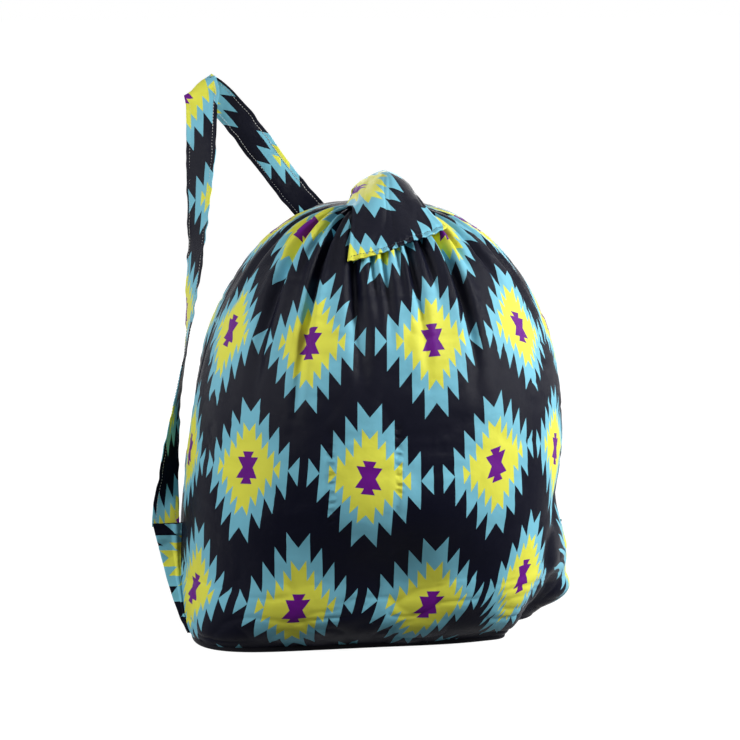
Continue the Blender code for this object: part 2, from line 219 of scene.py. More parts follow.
def ruffle(angle):
    """The fine pleats at the mouth: a cosine whose turns are a little uneven."""
    return -RUFFLE_DEPTH * np.cos(RUFFLES * angle + 0.5 * np.sin(3 * angle))


def body(angle, level):
    """The stuffed body, without its folds: a rounded-square section carried up a dome.
    The radius is the superellipse's, with the swellings added."""
    angle, level = np.broadcast_arrays(np.asarray(angle, float), np.asarray(level, float))
    half_width, half_depth, squareness, height = girth(level)
    across = np.abs(np.sin(angle) / half_width) ** squareness
    along = np.abs(np.cos(angle) / half_depth) ** squareness
    radius = (across + along) ** (-1.0 / squareness) + swell(angle, height)
    radius = radius + ruffle(angle) * smooth((level - RUFFLE_FOOT) / (2.0 - RUFFLE_FOOT))
    to_right = body_middle(height) + radius * np.sin(angle)
    return np.stack([to_right, -radius * np.cos(angle), height], -1)


def body_normal(angle, level):
    """Outwards from the body: the cross product of its slopes round and up."""
    step = 1e-3
    around = body(angle + step, level) - body(angle - step, level)
    up = body(angle, np.minimum(level + step, 2.0)) - body(angle, np.maximum(level - step, 0.0))
    return unit(np.cross(around, up))


def off_body(angle, level, lift):
    """A point at a distance from the body, outwards for a positive lift."""
    return body(angle, level) + body_normal(angle, level) * np.asarray(lift)[..., None]


def level_at(height):
    """The level at which the body reaches a height."""
    levels = np.linspace(0.0, 2.0, 801)
    return np.interp(height, girth(levels)[3], levels)


def seam_angle(level, side):
    """How far round from the front each side seam lies: towards the base the left one comes
    forward and the right one, under the bulge, goes back."""
    turn = SEAM_FORWARD if side < 0 else SEAM_FORWARD_RIGHT
    return np.pi / 2 - turn * (1.0 - smooth(level))


def wander(x, y, seed, cells):
    """Smooth random relief from -1 to 1: random values on a lattice of cells by cells,
    repeated in x from 0 to 1, and blended between their neighbours by the smooth S."""
    values = np.random.default_rng(seed).uniform(-1.0, 1.0, (cells, cells))
    x = np.mod(x, 1.0) * cells
    y = np.mod(y, 1.0) * cells
    left, low = np.floor(x).astype(int), np.floor(y).astype(int)
    along, up = smooth(x - left), smooth(y - low)
    beside, above = (left + 1) % cells, (low + 1) % cells
    left, low = left % cells, low % cells
    lower = values[low, left] * (1 - along) + values[low, beside] * along
    upper = values[above, left] * (1 - along) + values[above, beside] * along
    return lower * (1 - up) + upper * up


# The pocket's sewn sides: angle, foot and head. Their tucks lie PUCKER_PITCH apart, reach
# PUCKER_WIDTH radians to each side, and fade over PUCKER_END at both ends.
POCKET_SEAMS = ((-0.405, 0.130, 0.232), (-0.032, 0.130, 0.236))
PUCKER_PITCH = 0.0085
PUCKER_DEPTH = 0.0016
PUCKER_WIDTH = 0.018
PUCKER_END = 0.012
# Soft lumps: depth, repeats of the wander's lattice in a metre up, seed and cells.
LUMPS = ((0.0022, 2.0, 11, 7), (0.0010, 0.35, 19, 26))
# Creases: depth, slant, repeats, seed, cells, sharpness, and the shares of the depth that
# are everywhere and that come on top near the foot.
CREASES = ((0.0013, 0.35, 2.6, 5, 22, 5, 1.0, 0.0), (0.0012, -0.5, 2.2, 8, 30, 6, 0.35, 1.0))


def folds(angle, level, height):
    """What stands in or out of the smooth body: the long folds, each a groove between two
    soft ridges that runs out downwards, the pocket's puckered seams, lumps, and creases
    where a wander passes through nothing."""
    offset = 0.0
    for top, foot, depth, spread, reach in LONG_FOLDS:
        down = np.clip((2.0 - level) / reach, 0.0, 1.0)
        away = turn_between(angle, top + (foot - top) * down) / spread
        groove = bell(away) - FOLD_RIDGE * bell(away / 2)
        run = smooth((1.0 - down) / FOLD_FADE) * smooth((MOUTH_CALM - level) / MOUTH_FADE)
        offset = offset - FOLD_STRENGTH * depth * run * groove
    for seam, low, high in POCKET_SEAMS:
        inside = smooth((height - low) / PUCKER_END) * smooth((high - height) / PUCKER_END)
        tuck = 0.65 + 0.35 * np.cos(2 * np.pi * height / PUCKER_PITCH)
        near = bell(turn_between(angle, seam) / PUCKER_WIDTH)
        offset = offset - PUCKER_DEPTH * inside * tuck * near
    x = angle / (2 * np.pi)
    for depth, rate, seed, cells in LUMPS:
        lump = depth * wander(x, height * rate, seed, cells)
        offset = offset + lump * smooth((2.0 - level) / 0.5)
    for depth, slant, rate, seed, cells, sharpness, everywhere, at_foot in CREASES:
        crease = 1.0 - np.abs(wander(x + slant * height, height * rate, seed, cells))
        share = everywhere + at_foot * bell((height - 0.035) / 0.04)
        offset = offset - depth * share * crease**sharpness
    return offset


def smooth_piece(name, mesh):
    """A finished mesh as a piece, checked and shaded smooth."""
    mesh.validate()
    mesh.shade_smooth()
    return put_in_scene(name, mesh)


def cloth_grid(name, points, place, closed=False, looped=False, capped=(False, False)):
    """A piece of cloth from a grid of points (rows, columns), with each point's place on
    the flat cloth, in metres, as its UV. A closed grid joins its last column to its first,
    a looped one its last row too, and a capped one has its first or last row filled."""
    rows, columns = points.shape[:2]
    row = np.arange(rows if looped else rows - 1)[:, None]
    column = np.arange(columns if closed else columns - 1)[None, :]
    beside = (column + 1) % columns
    above = (row + 1) % rows
    corners = np.stack([row * columns + column, row * columns + beside,
                        above * columns + beside, above * columns + column], -1).reshape(-1)
    spots = np.stack([place[row, column], place[row, column + 1],
                      place[row + 1, column + 1], place[row + 1, column]], 2).reshape(-1, 2)
    starts = np.arange(0, len(corners), 4)
    for wanted, ring, turn in ((capped[0], 0, -1), (capped[1], rows - 1, 1)):
        if wanted:
            starts = np.append(starts, len(corners))
            corners = np.concatenate([corners, (ring * columns + np.arange(columns))[::turn]])
            spots = np.concatenate([spots, place[ring, :columns][::turn]])
    mesh = bpy.data.meshes.new(name)
    mesh.vertices.add(rows * columns)
    mesh.vertices.foreach_set("co", points.reshape(-1).astype(np.float32))
    mesh.loops.add(len(corners))
    mesh.loops.foreach_set("vertex_index", corners.astype(np.int32))
    mesh.polygons.add(len(starts))
    mesh.polygons.foreach_set("loop_start", starts.astype(np.int32))
    mesh.update(calc_edges=True)
    mesh.uv_layers.new(name="cloth").data.foreach_set("uv", spots.reshape(-1).astype(np.float32))
    return smooth_piece(name, mesh)


def thicken(piece, thickness, offset=-1.0):
    """Gives a sheet its thickness, inwards unless told otherwise."""
    wall = piece.modifiers.new("cloth", "SOLIDIFY")
    wall.thickness = thickness
    wall.offset = offset
    wall.use_even_offset = False
    wall.use_rim = True
    return piece


def dress(piece, finish, node_name=None):
    """Gives a piece its material and its body, and hides the imported part that it stands for."""
    piece.data.materials.append(finish)
    if node_name:
        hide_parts(node_name)
    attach(piece, "root")
    return piece


# The print: a half-drop lattice of stepped diamonds, PRINT_PITCH apart. A pitch is
# STEPS_IN_PITCH steps. PRINT_ROW is the height, along the cloth, of a row whose diamonds
# stand at whole pitches. The middle is MIDDLE_SHARE of a diamond.
PRINT_PITCH = 0.125
PRINT_ROW = 0.197
STEPS_IN_PITCH = 10.8
STEPS_TO_EDGE = 6.0
STEP_SLOPE = 1.19
MIDDLE_SHARE = 0.645
# The heart's half width in steps: at its waist and growing upwards, then above HEART_BREAK
# at its cap and growing again, up to HEART_TOP.
HEART_WAIST = 0.53
HEART_WAIST_GROWTH = 0.57
HEART_BREAK = 0.88
HEART_CAP = 0.32
HEART_CAP_GROWTH = 0.49
HEART_TOP = 1.35
GROUND_INK = (0.0030, 0.0034, 0.0100)
FIELD_INK = (0.175, 0.475, 0.600)
MIDDLE_INK = (0.700, 0.700, 0.075)
HEART_INK = (0.128, 0.009, 0.215)


def fill(tree, made, inputs):
    """Sets or links a node's inputs, given by index or name."""
    for key, value in dict(inputs).items():
        if isinstance(value, bpy.types.NodeSocket):
            tree.links.new(value, made.inputs[key])
        else:
            made.inputs[key].default_value = value
    return made


def node(tree, kind, inputs=(), **settings):
    """Adds a node with its settings, and then its inputs."""
    made = tree.nodes.new("ShaderNode" + kind)
    for name, value in settings.items():
        setattr(made, name, value)
    return fill(tree, made, inputs)


def maths(tree, operation, *values):
    """A Math node's output. A value that is a tuple is worked out first in the same way."""
    values = [maths(tree, *value) if isinstance(value, tuple) else value for value in values]
    return node(tree, "Math", dict(enumerate(values)), operation=operation).outputs[0]


def noise(tree, vector, scale, detail=2.0):
    """Soft noise from 0 to 1."""
    inputs = {"Vector": vector, "Scale": scale, "Detail": detail}
    return node(tree, "TexNoise", inputs).outputs["Fac"]


def ranged(tree, value, low, high, bottom, top, kind="LINEAR"):
    """From bottom to top, as a value goes from low to high."""
    limits = {0: value, 1: low, 2: high, 3: bottom, 4: top}
    return node(tree, "MapRange", limits, interpolation_type=kind).outputs[0]


def separate(tree, vector):
    """A vector's X, Y and Z."""
    return node(tree, "SeparateXYZ", {0: vector}).outputs


def group(name, inputs, outputs, kind="NodeSocketFloat"):
    """An empty node group, its inputs and its output node. Each input has its usual value,
    which is a number, the three of a vector or the four of a colour."""
    kinds = {1: "NodeSocketFloat", 3: "NodeSocketVector", 4: "NodeSocketColor"}
    tree = bpy.data.node_groups.new(name, "ShaderNodeTree")
    for label, value in inputs.items():
        socket = tree.interface.new_socket(label, in_out="INPUT", socket_type=kinds[np.size(value)])
        socket.default_value = value
    for label in outputs:
        tree.interface.new_socket(label, in_out="OUTPUT", socket_type=kind)
    return tree, tree.nodes.new("NodeGroupInput").outputs, tree.nodes.new("NodeGroupOutput")


def stepped_diamond():
    """One diamond's masks. In units of one step, strip k of the distance across ends in a
    point 6 - k steps high, times the slope, and the middle is the same shape, smaller."""
    inputs = {"Across": 0.0, "Up": 0.0, "Step": PRINT_PITCH / STEPS_IN_PITCH}
    tree, given, put = group("stepped_diamond", inputs, ("Field", "Middle", "Heart"))
    x = maths(tree, "DIVIDE", given["Across"], given["Step"])
    y = maths(tree, "DIVIDE", given["Up"], given["Step"])
    for label, share in (("Field", 1.0), ("Middle", MIDDLE_SHARE)):
        wide = maths(tree, "DIVIDE", x, share)
        strip = maths(tree, "CEIL", wide)
        reach = maths(tree, "ADD", ("MULTIPLY_ADD", strip, -2.0, STEPS_TO_EDGE), wide)
        tall = maths(tree, "MULTIPLY", reach, STEP_SLOPE * share)
        fill(tree, put, {label: maths(tree, "GREATER_THAN", tall, y)})
    waist = maths(tree, "MULTIPLY_ADD", y, HEART_WAIST_GROWTH, HEART_WAIST)
    above = maths(tree, "SUBTRACT", y, HEART_BREAK)
    cap = maths(tree, "MULTIPLY_ADD", above, HEART_CAP_GROWTH, HEART_CAP)
    upper = maths(tree, "GREATER_THAN", y, HEART_BREAK)
    lower = maths(tree, "MULTIPLY", ("SUBTRACT", 1.0, upper), waist)
    edge = maths(tree, "ADD", lower, ("MULTIPLY", upper, cap))
    beside = maths(tree, "GREATER_THAN", edge, x)
    below = maths(tree, "GREATER_THAN", HEART_TOP, y)
    fill(tree, put, {"Heart": maths(tree, "MULTIPLY", beside, below)})
    return tree


def diamond_print():
    """The whole print's colour: two lattices of diamonds, each folded on to one diamond by
    the distance to its nearest column and row, laid over the ground colour."""
    one = stepped_diamond()
    inks = {"Ground": GROUND_INK, "Field": FIELD_INK, "Middle": MIDDLE_INK, "Heart": HEART_INK}
    inputs = {"Place": (0.0, 0.0, 0.0), "Pitch": PRINT_PITCH}
    inputs.update({label: (*ink, 1.0) for label, ink in inks.items()})
    tree, given, put = group("diamond_print", inputs, ("Color",), "NodeSocketColor")
    place = separate(tree, given["Place"])
    half = maths(tree, "MULTIPLY", given["Pitch"], 0.5)
    step = maths(tree, "DIVIDE", given["Pitch"], STEPS_IN_PITCH)
    diamonds = []
    for shift_across, shift_up in ((0.0, 0.0), (half, given["Pitch"])):
        across = maths(tree, "PINGPONG", ("ADD", place["X"], shift_across), half)
        up = maths(tree, "PINGPONG", ("ADD", place["Y"], shift_up), given["Pitch"])
        spot = {"Across": across, "Up": up, "Step": step}
        diamonds.append(node(tree, "Group", spot, node_tree=one).outputs)
    colour = given["Ground"]
    for label in ("Field", "Middle", "Heart"):
        mask = maths(tree, "MAXIMUM", diamonds[0][label], diamonds[1][label])
        layers = {"Factor": mask, "A": colour, "B": given[label]}
        colour = node(tree, "Mix", layers, data_type="RGBA").outputs["Result"]
    fill(tree, put, {"Color": colour})
    return tree


# How many dents there are in a metre, and how deep the fine ones are beside the broad ones.
BROAD_DENTS = 34.0
FINE_DENTS = 120.0
FINE_SHARE = 0.35
THREAD_PITCH = 0.0006
WEAVE_DEPTH = 0.06


def woven_relief():
    """Plain weave and crumple for a Bump node: threads as crossed sines of the place, and
    two sizes of soft noise for the small dents that handling leaves in thin nylon."""
    origin = (0.0, 0.0, 0.0)
    inputs = {"Place": origin, "Point": origin, "Thread": THREAD_PITCH, "Weave": WEAVE_DEPTH}
    tree, given, put = group("woven_relief", inputs, ("Height", "Tone"))
    place = separate(tree, given["Place"])
    rate = maths(tree, "DIVIDE", math.pi, given["Thread"])
    warp = maths(tree, "SINE", ("MULTIPLY", place["X"], rate))
    weft = maths(tree, "SINE", ("MULTIPLY", place["Y"], rate))
    weave = maths(tree, "MULTIPLY", ("MULTIPLY", warp, weft), given["Weave"])
    broad = noise(tree, given["Point"], BROAD_DENTS)
    fine = noise(tree, given["Point"], FINE_DENTS)
    dents = maths(tree, "MULTIPLY_ADD", fine, FINE_SHARE, broad)
    fill(tree, put, {"Height": maths(tree, "ADD", weave, dents), "Tone": broad})
    return tree


# The pocket's two sewn sides as the front shows them: where each lies across, and its foot
# and head. Small tucks stand across the stitches at PUCKER_PITCH, as far as STITCH_REACH.
POCKET_STITCHES = ((-0.0467, 0.130, 0.214), (0.0165, 0.160, 0.230))
STITCH_REACH = 0.0050
STITCH_FADE = 0.008


def pocket_puckers():
    """Small tucks for a Bump node: waves up the cloth, kept to a narrow band at each sewn
    side of the pocket, on the front only."""
    tree, given, put = group("pocket_puckers", {"Point": (0.0, 0.0, 0.0)}, ("Height",))
    point = separate(tree, given["Point"])
    uneven = maths(tree, "MULTIPLY", noise(tree, given["Point"], 90.0), 6.0)
    turns = 2 * math.pi / PUCKER_PITCH
    wave = maths(tree, "SINE", ("MULTIPLY_ADD", point["Z"], turns, uneven))
    total = 0.0
    for across, foot, head in POCKET_STITCHES:
        half = (head - foot) / 2
        away = maths(tree, "ABSOLUTE", ("SUBTRACT", point["X"], across))
        middle = maths(tree, "ABSOLUTE", ("SUBTRACT", point["Z"], (foot + head) / 2))
        near = ranged(tree, away, 0.0, STITCH_REACH, 1.0, 0.0, "SMOOTHSTEP")
        along = ranged(tree, middle, half - STITCH_FADE, half, 1.0, 0.0)
        total = maths(tree, "MULTIPLY_ADD", near, along, total)
    front = maths(tree, "LESS_THAN", point["Y"], 0.0)
    fill(tree, put, {"Height": maths(tree, "MULTIPLY", ("MULTIPLY", wave, total), front)})
    return tree


# Gloss of the cloth, how far its roughness wanders, the depth of its relief, and painted sheen:
# a glossy coat laid on by height to stand in for the light from above. There is none at the
# foot of the bag, and it grows between two heights.
CLOTH_GLOSS = 0.035
GLOSS_SPREAD = 0.06
CLOTH_RELIEF = 0.0012
PAINTED_SHEEN_HEIGHTS = (0.14, 0.30)
PAINTED_SHEEN = 0.13
PAINTED_SHEEN_ROUGHNESS = 0.35
print_group = diamond_print()
relief_group = woven_relief()
pucker_group = pocket_puckers()


def new_finish(name):
    """A new material, its tree and its shader, and the Object coordinates in it."""
    material = bpy.data.materials.new(name)
    material.use_nodes = True
    tree = material.node_tree
    point = node(tree, "TexCoord").outputs["Object"]
    return material, tree, tree.nodes["Principled BSDF"], point


def shaded(tree, ink, tone, least, most):
    """An ink made from least to most times as bright by a tone from 0 to 1."""
    strength = ranged(tree, tone, 0.0, 1.0, least, most)
    return node(tree, "VectorMath", {0: ink, "Scale": strength}, operation="SCALE").outputs[0]


def cloth_finish(name, ink=None, roughness=0.38, pitch=PRINT_PITCH, puckers=0.0):
    """Thin nylon: the print or one ink, a soft gloss that wanders a little, the weave, and painted
    sheen laid on by height.
    """
    material, tree, shader, point = new_finish(name)
    place = node(tree, "UVMap", uv_map="cloth").outputs["UV"]
    spot = {"Place": place, "Point": point}
    relief = node(tree, "Group", spot, node_tree=relief_group).outputs
    tone = relief["Tone"]
    if ink:
        colour = shaded(tree, ink, tone, 0.8, 1.2)
    else:
        spot = {"Place": place, "Pitch": pitch}
        colour = node(tree, "Group", spot, node_tree=print_group).outputs[0]
    height = relief["Height"]
    if puckers:
        tucks = node(tree, "Group", {"Point": point}, node_tree=pucker_group).outputs[0]
        height = maths(tree, "MULTIPLY_ADD", tucks, puckers, height)
    bump = node(tree, "Bump", {"Height": height, "Distance": CLOTH_RELIEF}).outputs["Normal"]
    height_up = separate(tree, point)["Z"]
    least, most = roughness - GLOSS_SPREAD, roughness + GLOSS_SPREAD
    fill(tree, shader, {
        "Base Color": colour,
        "Roughness": ranged(tree, tone, 0.0, 1.0, least, most),
        "Specular IOR Level": CLOTH_GLOSS,
        # Coat Weight is painted sheen for the light from above: none below the first height, the
        # most above the second.
        "Coat Weight": ranged(tree, height_up, *PAINTED_SHEEN_HEIGHTS, 0.0, PAINTED_SHEEN, "SMOOTHSTEP"),
        "Coat Roughness": PAINTED_SHEEN_ROUGHNESS,
        "Coat Normal": bump,
        "Normal": bump,
    })
    return material


def climb(points):
    """Length up each column of a grid, or along one line of points, from the first."""
    steps = np.linalg.norm(np.diff(points, axis=0), axis=-1)
    return np.concatenate([np.zeros_like(steps[:1]), np.cumsum(steps, axis=0)])


def belly_arc(angle):
    """Length round the belly from the front, for any angle."""
    angles = np.linspace(-np.pi, 3 * np.pi, 8001)
    lengths = climb(body(angles, 1.0))
    return np.interp(angle, angles, lengths) - np.interp(0.0, angles, lengths)


# Where the stuffing and the folds have dragged the printed cloth: arc from the front, height
# up the cloth, and how far to the right and up, each a bell of half width PRINT_DRAG.
PRINT_DRAG = 0.055
PRINT_DRIFTS = (
    (-0.1956, 0.437, -0.0038, 0.0064),
    (0.1062, 0.443, -0.0156, -0.0093),
    (-0.3235, 0.428, 0.0217, 0.0036),
    (-0.2227, 0.312, 0.0002, 0.0050),
    (-0.1002, 0.318, -0.0046, -0.0036),
    (0.0307, 0.329, 0.0012, 0.0065),
    (0.1507, 0.323, -0.0024, -0.0049),
    (-0.2702, 0.182, 0.0127, -0.0018),
    (-0.1540, 0.192, 0.0072, 0.0032),
    (-0.0338, 0.198, 0.0026, -0.0018),
    (0.0937, 0.206, -0.0008, 0.0018),
    (0.1818, 0.201, -0.0089, 0.0082),
    (-0.2227, 0.055, -0.0022, -0.0037),
    (-0.0924, 0.067, 0.0049, -0.0096),
    (0.0350, 0.074, 0.0078, -0.0080),
    (0.0937, 0.080, 0.0100, 0.0000),
    (0.1331, 0.087, -0.0115, 0.0060),
    (0.1600, 0.130, 0.0170, -0.0080),
    (0.1250, 0.040, -0.0150, 0.0000),
    (0.1850, 0.085, -0.0140, 0.0000),
    (0.2550, 0.080, 0.0510, -0.0060),
    (0.2500, 0.030, 0.0400, 0.0000),
)


# The even print has EVEN_COLUMNS pitches in a metre. On the front, from GATHER_FOOT up and
# over GATHER_RISE, the gathers spread it: there are fewer by FEWER_AT_LEFT at the left, and
# by that less FEWER_LESS_AT_RIGHT at the right.
EVEN_COLUMNS = 1.0 / PRINT_PITCH
FIRST_COLUMN = 0.033
GATHER_FOOT = 0.33
GATHER_RISE = 0.11
FEWER_AT_LEFT = 2.15
FEWER_LESS_AT_RIGHT = 1.4
GATHER_SHIFT = 0.0185
RIGHT_FROM = 0.03
RIGHT_ABOVE = 0.072


def print_place(arc, up):
    """Where a point lies on the printed cloth, from its arc round from the front (the back
    follows on at the left) and its height up the cloth: even below, spread by the gathers
    above, drawn together round the right side as the square of the arc past RIGHT_FROM, a
    little askew at both sides, and drawn up to the mouth at the left shoulder."""
    near_front = smooth((arc + 0.55) / 0.19)
    spread = smooth((up - GATHER_FOOT) / GATHER_RISE) * near_front
    fewer = FEWER_AT_LEFT - FEWER_LESS_AT_RIGHT * smooth((arc + 0.04) / 0.08)
    slope = EVEN_COLUMNS - spread * fewer
    above = np.maximum(up - RIGHT_ABOVE, 0.0)
    past_right = np.maximum(0.0, arc - RIGHT_FROM - 0.4 * above)
    tighter = 9.0 + 7.0 * smooth(above / 0.09) + 40.0 * above
    across = slope * (arc + FIRST_COLUMN - GATHER_SHIFT * spread) + tighter * past_right**2
    across = across * PRINT_PITCH
    along = up - PRINT_ROW - 0.006 * smooth((arc - 0.01) / 0.13)
    along = along + 0.013 * smooth((-arc - 0.11) / 0.12) * near_front
    shoulder = smooth((-arc - 0.22) / 0.10) * smooth((up - GATHER_FOOT) / 0.09)
    along = along + 0.010 * shoulder * near_front
    for middle, row, shift_right, shift_up in PRINT_DRIFTS:
        drag = bell((arc - middle) / PRINT_DRAG) * bell((up - row) / PRINT_DRAG)
        across = across - shift_right * drag
        along = along - shift_up * drag
    return np.stack([across, along], -1)


SEAM_DIP = 0.0016
SEAM_ROLL = 0.0045
SEAM_CALM = 0.022
SEAM_PUCKER = 0.011


def make_half(name, behind, node_name):
    """Half of the sack between the side seams: the body with its folds, along its normals.
    Within SEAM_ROLL of a seam the cloth turns in by SEAM_DIP, with a pucker at intervals."""
    below = np.linspace(0.0, 1.0, BELLY_ROWS)[:-1] ** 1.1
    above = 1.0 + np.linspace(0.0, 1.0, PANEL_ROWS - BELLY_ROWS + 1)
    levels = np.concatenate([below, above])[:, None]
    share = np.linspace(-1.0, 1.0, PANEL_COLUMNS)[None, :]
    left = -seam_angle(levels, -1)
    right = seam_angle(levels, 1)
    if behind:
        left, right = right, left + 2 * np.pi
    half = (right - left) / 2
    angle = (left + right) / 2 + share * half
    levels = np.broadcast_to(levels, angle.shape)
    plain = body(angle, levels)
    steps = np.linalg.norm(plain[1:] - body(angle[1:], levels[:-1]), axis=2)
    up = np.concatenate([np.zeros((1, angle.shape[1])), np.cumsum(steps, axis=0)])
    arc = belly_arc(angle) - (belly_arc(2 * np.pi) if behind else 0.0)
    height = plain[..., 2]
    from_seam = (1.0 - np.abs(share)) * half * girth(levels)[0]
    tuck = 0.75 + 0.25 * np.cos(2 * np.pi * up / SEAM_PUCKER)
    dip = SEAM_DIP * tuck * (1.0 - smooth(from_seam / SEAM_ROLL))
    lift = folds(angle, levels, height) * smooth(from_seam / SEAM_CALM) - dip
    points = plain + body_normal(angle, levels) * lift[..., None]
    points[..., 2] = np.maximum(points[..., 2], 0.0) + FOOT * (1.0 - smooth(height / 0.02))
    piece = thicken(cloth_grid(name, points, print_place(arc, up)), CLOTH)
    return dress(piece, body_finish, node_name), up.max()


body_finish = cloth_finish("printed_body_cloth", puckers=0.7)
front, cloth_height = make_half("front_cloth", False, "front_panel")
back_half, _ = make_half("back_cloth", True, "back_panel")


# Base
# A flat bottom of plain dark nylon. Its edge turns up round the foot of the body cloth,
# where the boxed seam is, and shows as a narrow dark line.
BASE_LIP = 0.0042
BASE_PROUD = 0.0009
BASE_THICK = 0.0006
BASE_INK = (0.012, 0.012, 0.016)
UP = np.array([0.0, 0.0, 1.0])


def make_base():
    """Rings from the middle out to the foot of the body, then up its lip, each ring the
    body's outline at the floor times the ring's reach."""
    angle = np.linspace(0.0, 2 * np.pi, 361)
    outline = body(angle, 0.0)
    outward = np.stack([np.sin(angle), -np.cos(angle), np.zeros_like(angle)], -1)
    rings = [outline * np.array([reach, reach, 0.0]) for reach in np.linspace(0.02, 0.985, 24)]
    for turn in np.linspace(-np.pi / 2, 0.0, 5):
        lift = BASE_PROUD * (1 + np.sin(turn)) * UP
        rings.append(outline + outward * BASE_PROUD * (1 + np.cos(turn)) / 2 + lift)
    lip = 0.25 * np.sin(60 * angle) * np.sin(7 * angle)
    for rise in (0.4, 0.7, 0.9, 1.0):
        proud = BASE_PROUD * (1.0 - 0.5 * rise**6 + 0.3 * lip)[:, None]
        rings.append(outline + outward * proud + (BASE_PROUD + rise * BASE_LIP) * UP)
    points = np.array(rings)[:, :-1]
    place = np.array(rings)[..., :2]
    piece = cloth_grid("base_cloth", points, place, closed=True, capped=(True, False))
    return thicken(piece, BASE_THICK)


base_finish = cloth_finish("plain_base_cloth", BASE_INK, 0.5)
base = dress(make_base(), base_finish, "base_panel")


# Mouth casing and drawcord
# The top of the body cloth turned over and stitched down as a tunnel, bunched up on the
# ring of cord that runs in it.
CASING_HEIGHT = 0.021
CASING_BORE = 0.028
CASING_TURN = 13
CORD_THICKNESS = 0.0036
CORD_HEIGHT = 0.0150
CORD_SIDES = 10
CORD_TWIST = 40
CORD_LENGTH = 0.15
CORD_ROUND = 0.011
MOUTH_PEAK = 0.0115
MOUTH_RISE = 0.0045
MOUTH_SLOPE = 0.48
MOUTH_SIDES = (0.020, 0.008)
MOUTH_ROUND = 0.004
MOUTH_FALL = 22.0
CORD_INK = (0.02, 0.02, 0.022)


def mouth_sag(side):
    """How far the bunched mouth sinks at a place to the right of its middle: a tent with a
    rounded peak, MOUTH_RISE over the height that it was cut for, steeper past MOUTH_SIDES."""
    away = side - MOUTH_PEAK
    tent = MOUTH_SLOPE * (np.sqrt(away**2 + MOUTH_ROUND**2) - MOUTH_ROUND) - MOUTH_RISE
    left = np.maximum(0.0, -away - MOUTH_SIDES[0])
    right = np.maximum(0.0, away - MOUTH_SIDES[1])
    return tent + MOUTH_FALL * (left**2 + right**2)


def mouth_ring(radius, height, angle):
    """A ring round the mouth, pleated in step with the neck below it. The mouth's sag takes
    the same share off the height of every ring over the neck."""
    radius = radius + ruffle(angle)
    side = radius * np.sin(angle)
    sunk = 1.0 - np.maximum(-0.0015, mouth_sag(side)) / CASING_HEIGHT
    height = NECK_HEIGHT + height * sunk + 0.0006 * np.sin(5 * angle + 1.0)
    return np.stack([body_middle(NECK_HEIGHT) + side, -radius * np.cos(angle), height], -1)


def make_casing():
    """An arch in section, foot to crown to inner foot, carried round the pleated mouth."""
    angle = np.linspace(0.0, 2 * np.pi, 481)
    outer = MOUTH_WIDTH / 2
    inner = CASING_BORE / 2
    middle = (outer + inner) / 2
    half = (outer - inner) / 2
    straight = CASING_HEIGHT - half
    rings = [mouth_ring(outer, 0.0, angle), mouth_ring(outer, straight * 0.12, angle)]
    rings += [mouth_ring(outer + 0.0004, straight * rise, angle) for rise in (0.3, 0.5, 0.75)]
    for turn in np.linspace(0.0, np.pi, CASING_TURN):
        radius = middle + half * np.cos(turn)
        rings.append(mouth_ring(radius, straight + half * np.sin(turn), angle))
    rings += [mouth_ring(inner, straight * rise, angle) for rise in (0.7, 0.35)]
    rings = np.array(rings)
    up = climb(rings) + cloth_height - PRINT_ROW
    across = np.broadcast_to(belly_arc(angle), up.shape)
    piece = cloth_grid("mouth_casing_cloth", rings[:, :-1], np.stack([across, up], -1), closed=True)
    return thicken(piece, CLOTH)


def make_cord(name, path, radius):
    """A closed tube: a ring of points carried round a closed path. Its section has three
    soft lobes, turned CORD_TWIST times on the way round, as braid has."""
    along = unit(np.roll(path, -1, 0) - np.roll(path, 1, 0))
    side = unit(np.cross(along, UP))
    up = np.cross(side, along)
    angle = np.linspace(0.0, 2 * np.pi, CORD_SIDES, endpoint=False)[None, :, None]
    turned = angle + CORD_TWIST * np.linspace(0.0, 2 * np.pi, len(path))[:, None, None]
    swell_out = radius * (1.0 + 0.06 * np.cos(3 * (angle - turned)))
    outward = np.cos(angle) * side[:, None] + np.sin(angle) * up[:, None]
    rings = path[:, None] + swell_out * outward
    place = np.zeros((len(rings) + 1, CORD_SIDES + 1, 2))
    place[..., 0] = np.linspace(0.0, CORD_LENGTH, len(rings) + 1)[:, None]
    place[..., 1] = np.linspace(0.0, CORD_ROUND, CORD_SIDES + 1)[None, :]
    return cloth_grid(name, rings, place, closed=True, looped=True)


casing = dress(make_casing(), cloth_finish("printed_casing_cloth"), "mouth_casing")

cord_turns = np.linspace(0, 2 * np.pi, 160, endpoint=False)
cord_path = mouth_ring((MOUTH_WIDTH + CASING_BORE) / 4, CORD_HEIGHT, cord_turns)
drawcord = make_cord("drawcord_braid", cord_path, CORD_THICKNESS / 2)
dress(drawcord, cloth_finish("cord_braid", CORD_INK, 0.7), "drawcord")


# Closing flap
# A short tongue of the printed cloth, double, sewn behind the casing and folded forward
# over the mouth. Its hem is turned and stitched, and puckers along the stitches.
FLAP_ROOT_ANGLE = 0.80
FLAP_CREST_WIDTH = 0.066
FLAP_HEM_WIDTH = 0.107
FLAP_CLOTH = 0.0014
FLAP_CLEARANCE = 0.0016
FLAP_LIFT = 0.0045
FLAP_SHIFT = 0.0045
FLAP_HEM_DROP = 0.0350
FLAP_SKEW = 0.0125
FLAP_DROOP = 0.003
FLAP_COLUMNS = 81
FLAP_PITCH = 0.0016
FLAP_STITCH = 0.0056
FLAP_PUCKER_PITCH = 0.0085
FLAP_PUCKER = 0.0009
FLAP_TUCK = 0.0011
FLAP_WAVE = 0.0018
FLAP_CREASE = 0.0010
# The flap over the mouth: reach behind the middle as a share of its root radius, share of
# the way from root to crest in width, and height over the casing.
FLAP_OVER = (
    (1.00, 0.00, -0.0160),
    (1.00, 0.00, -0.0052),
    (0.93, 0.00, -0.0014),
    (0.74, 0.10, 0.0010),
    (0.22, 0.60, 0.0016),
    (-0.50, 1.00, 0.0012),
)
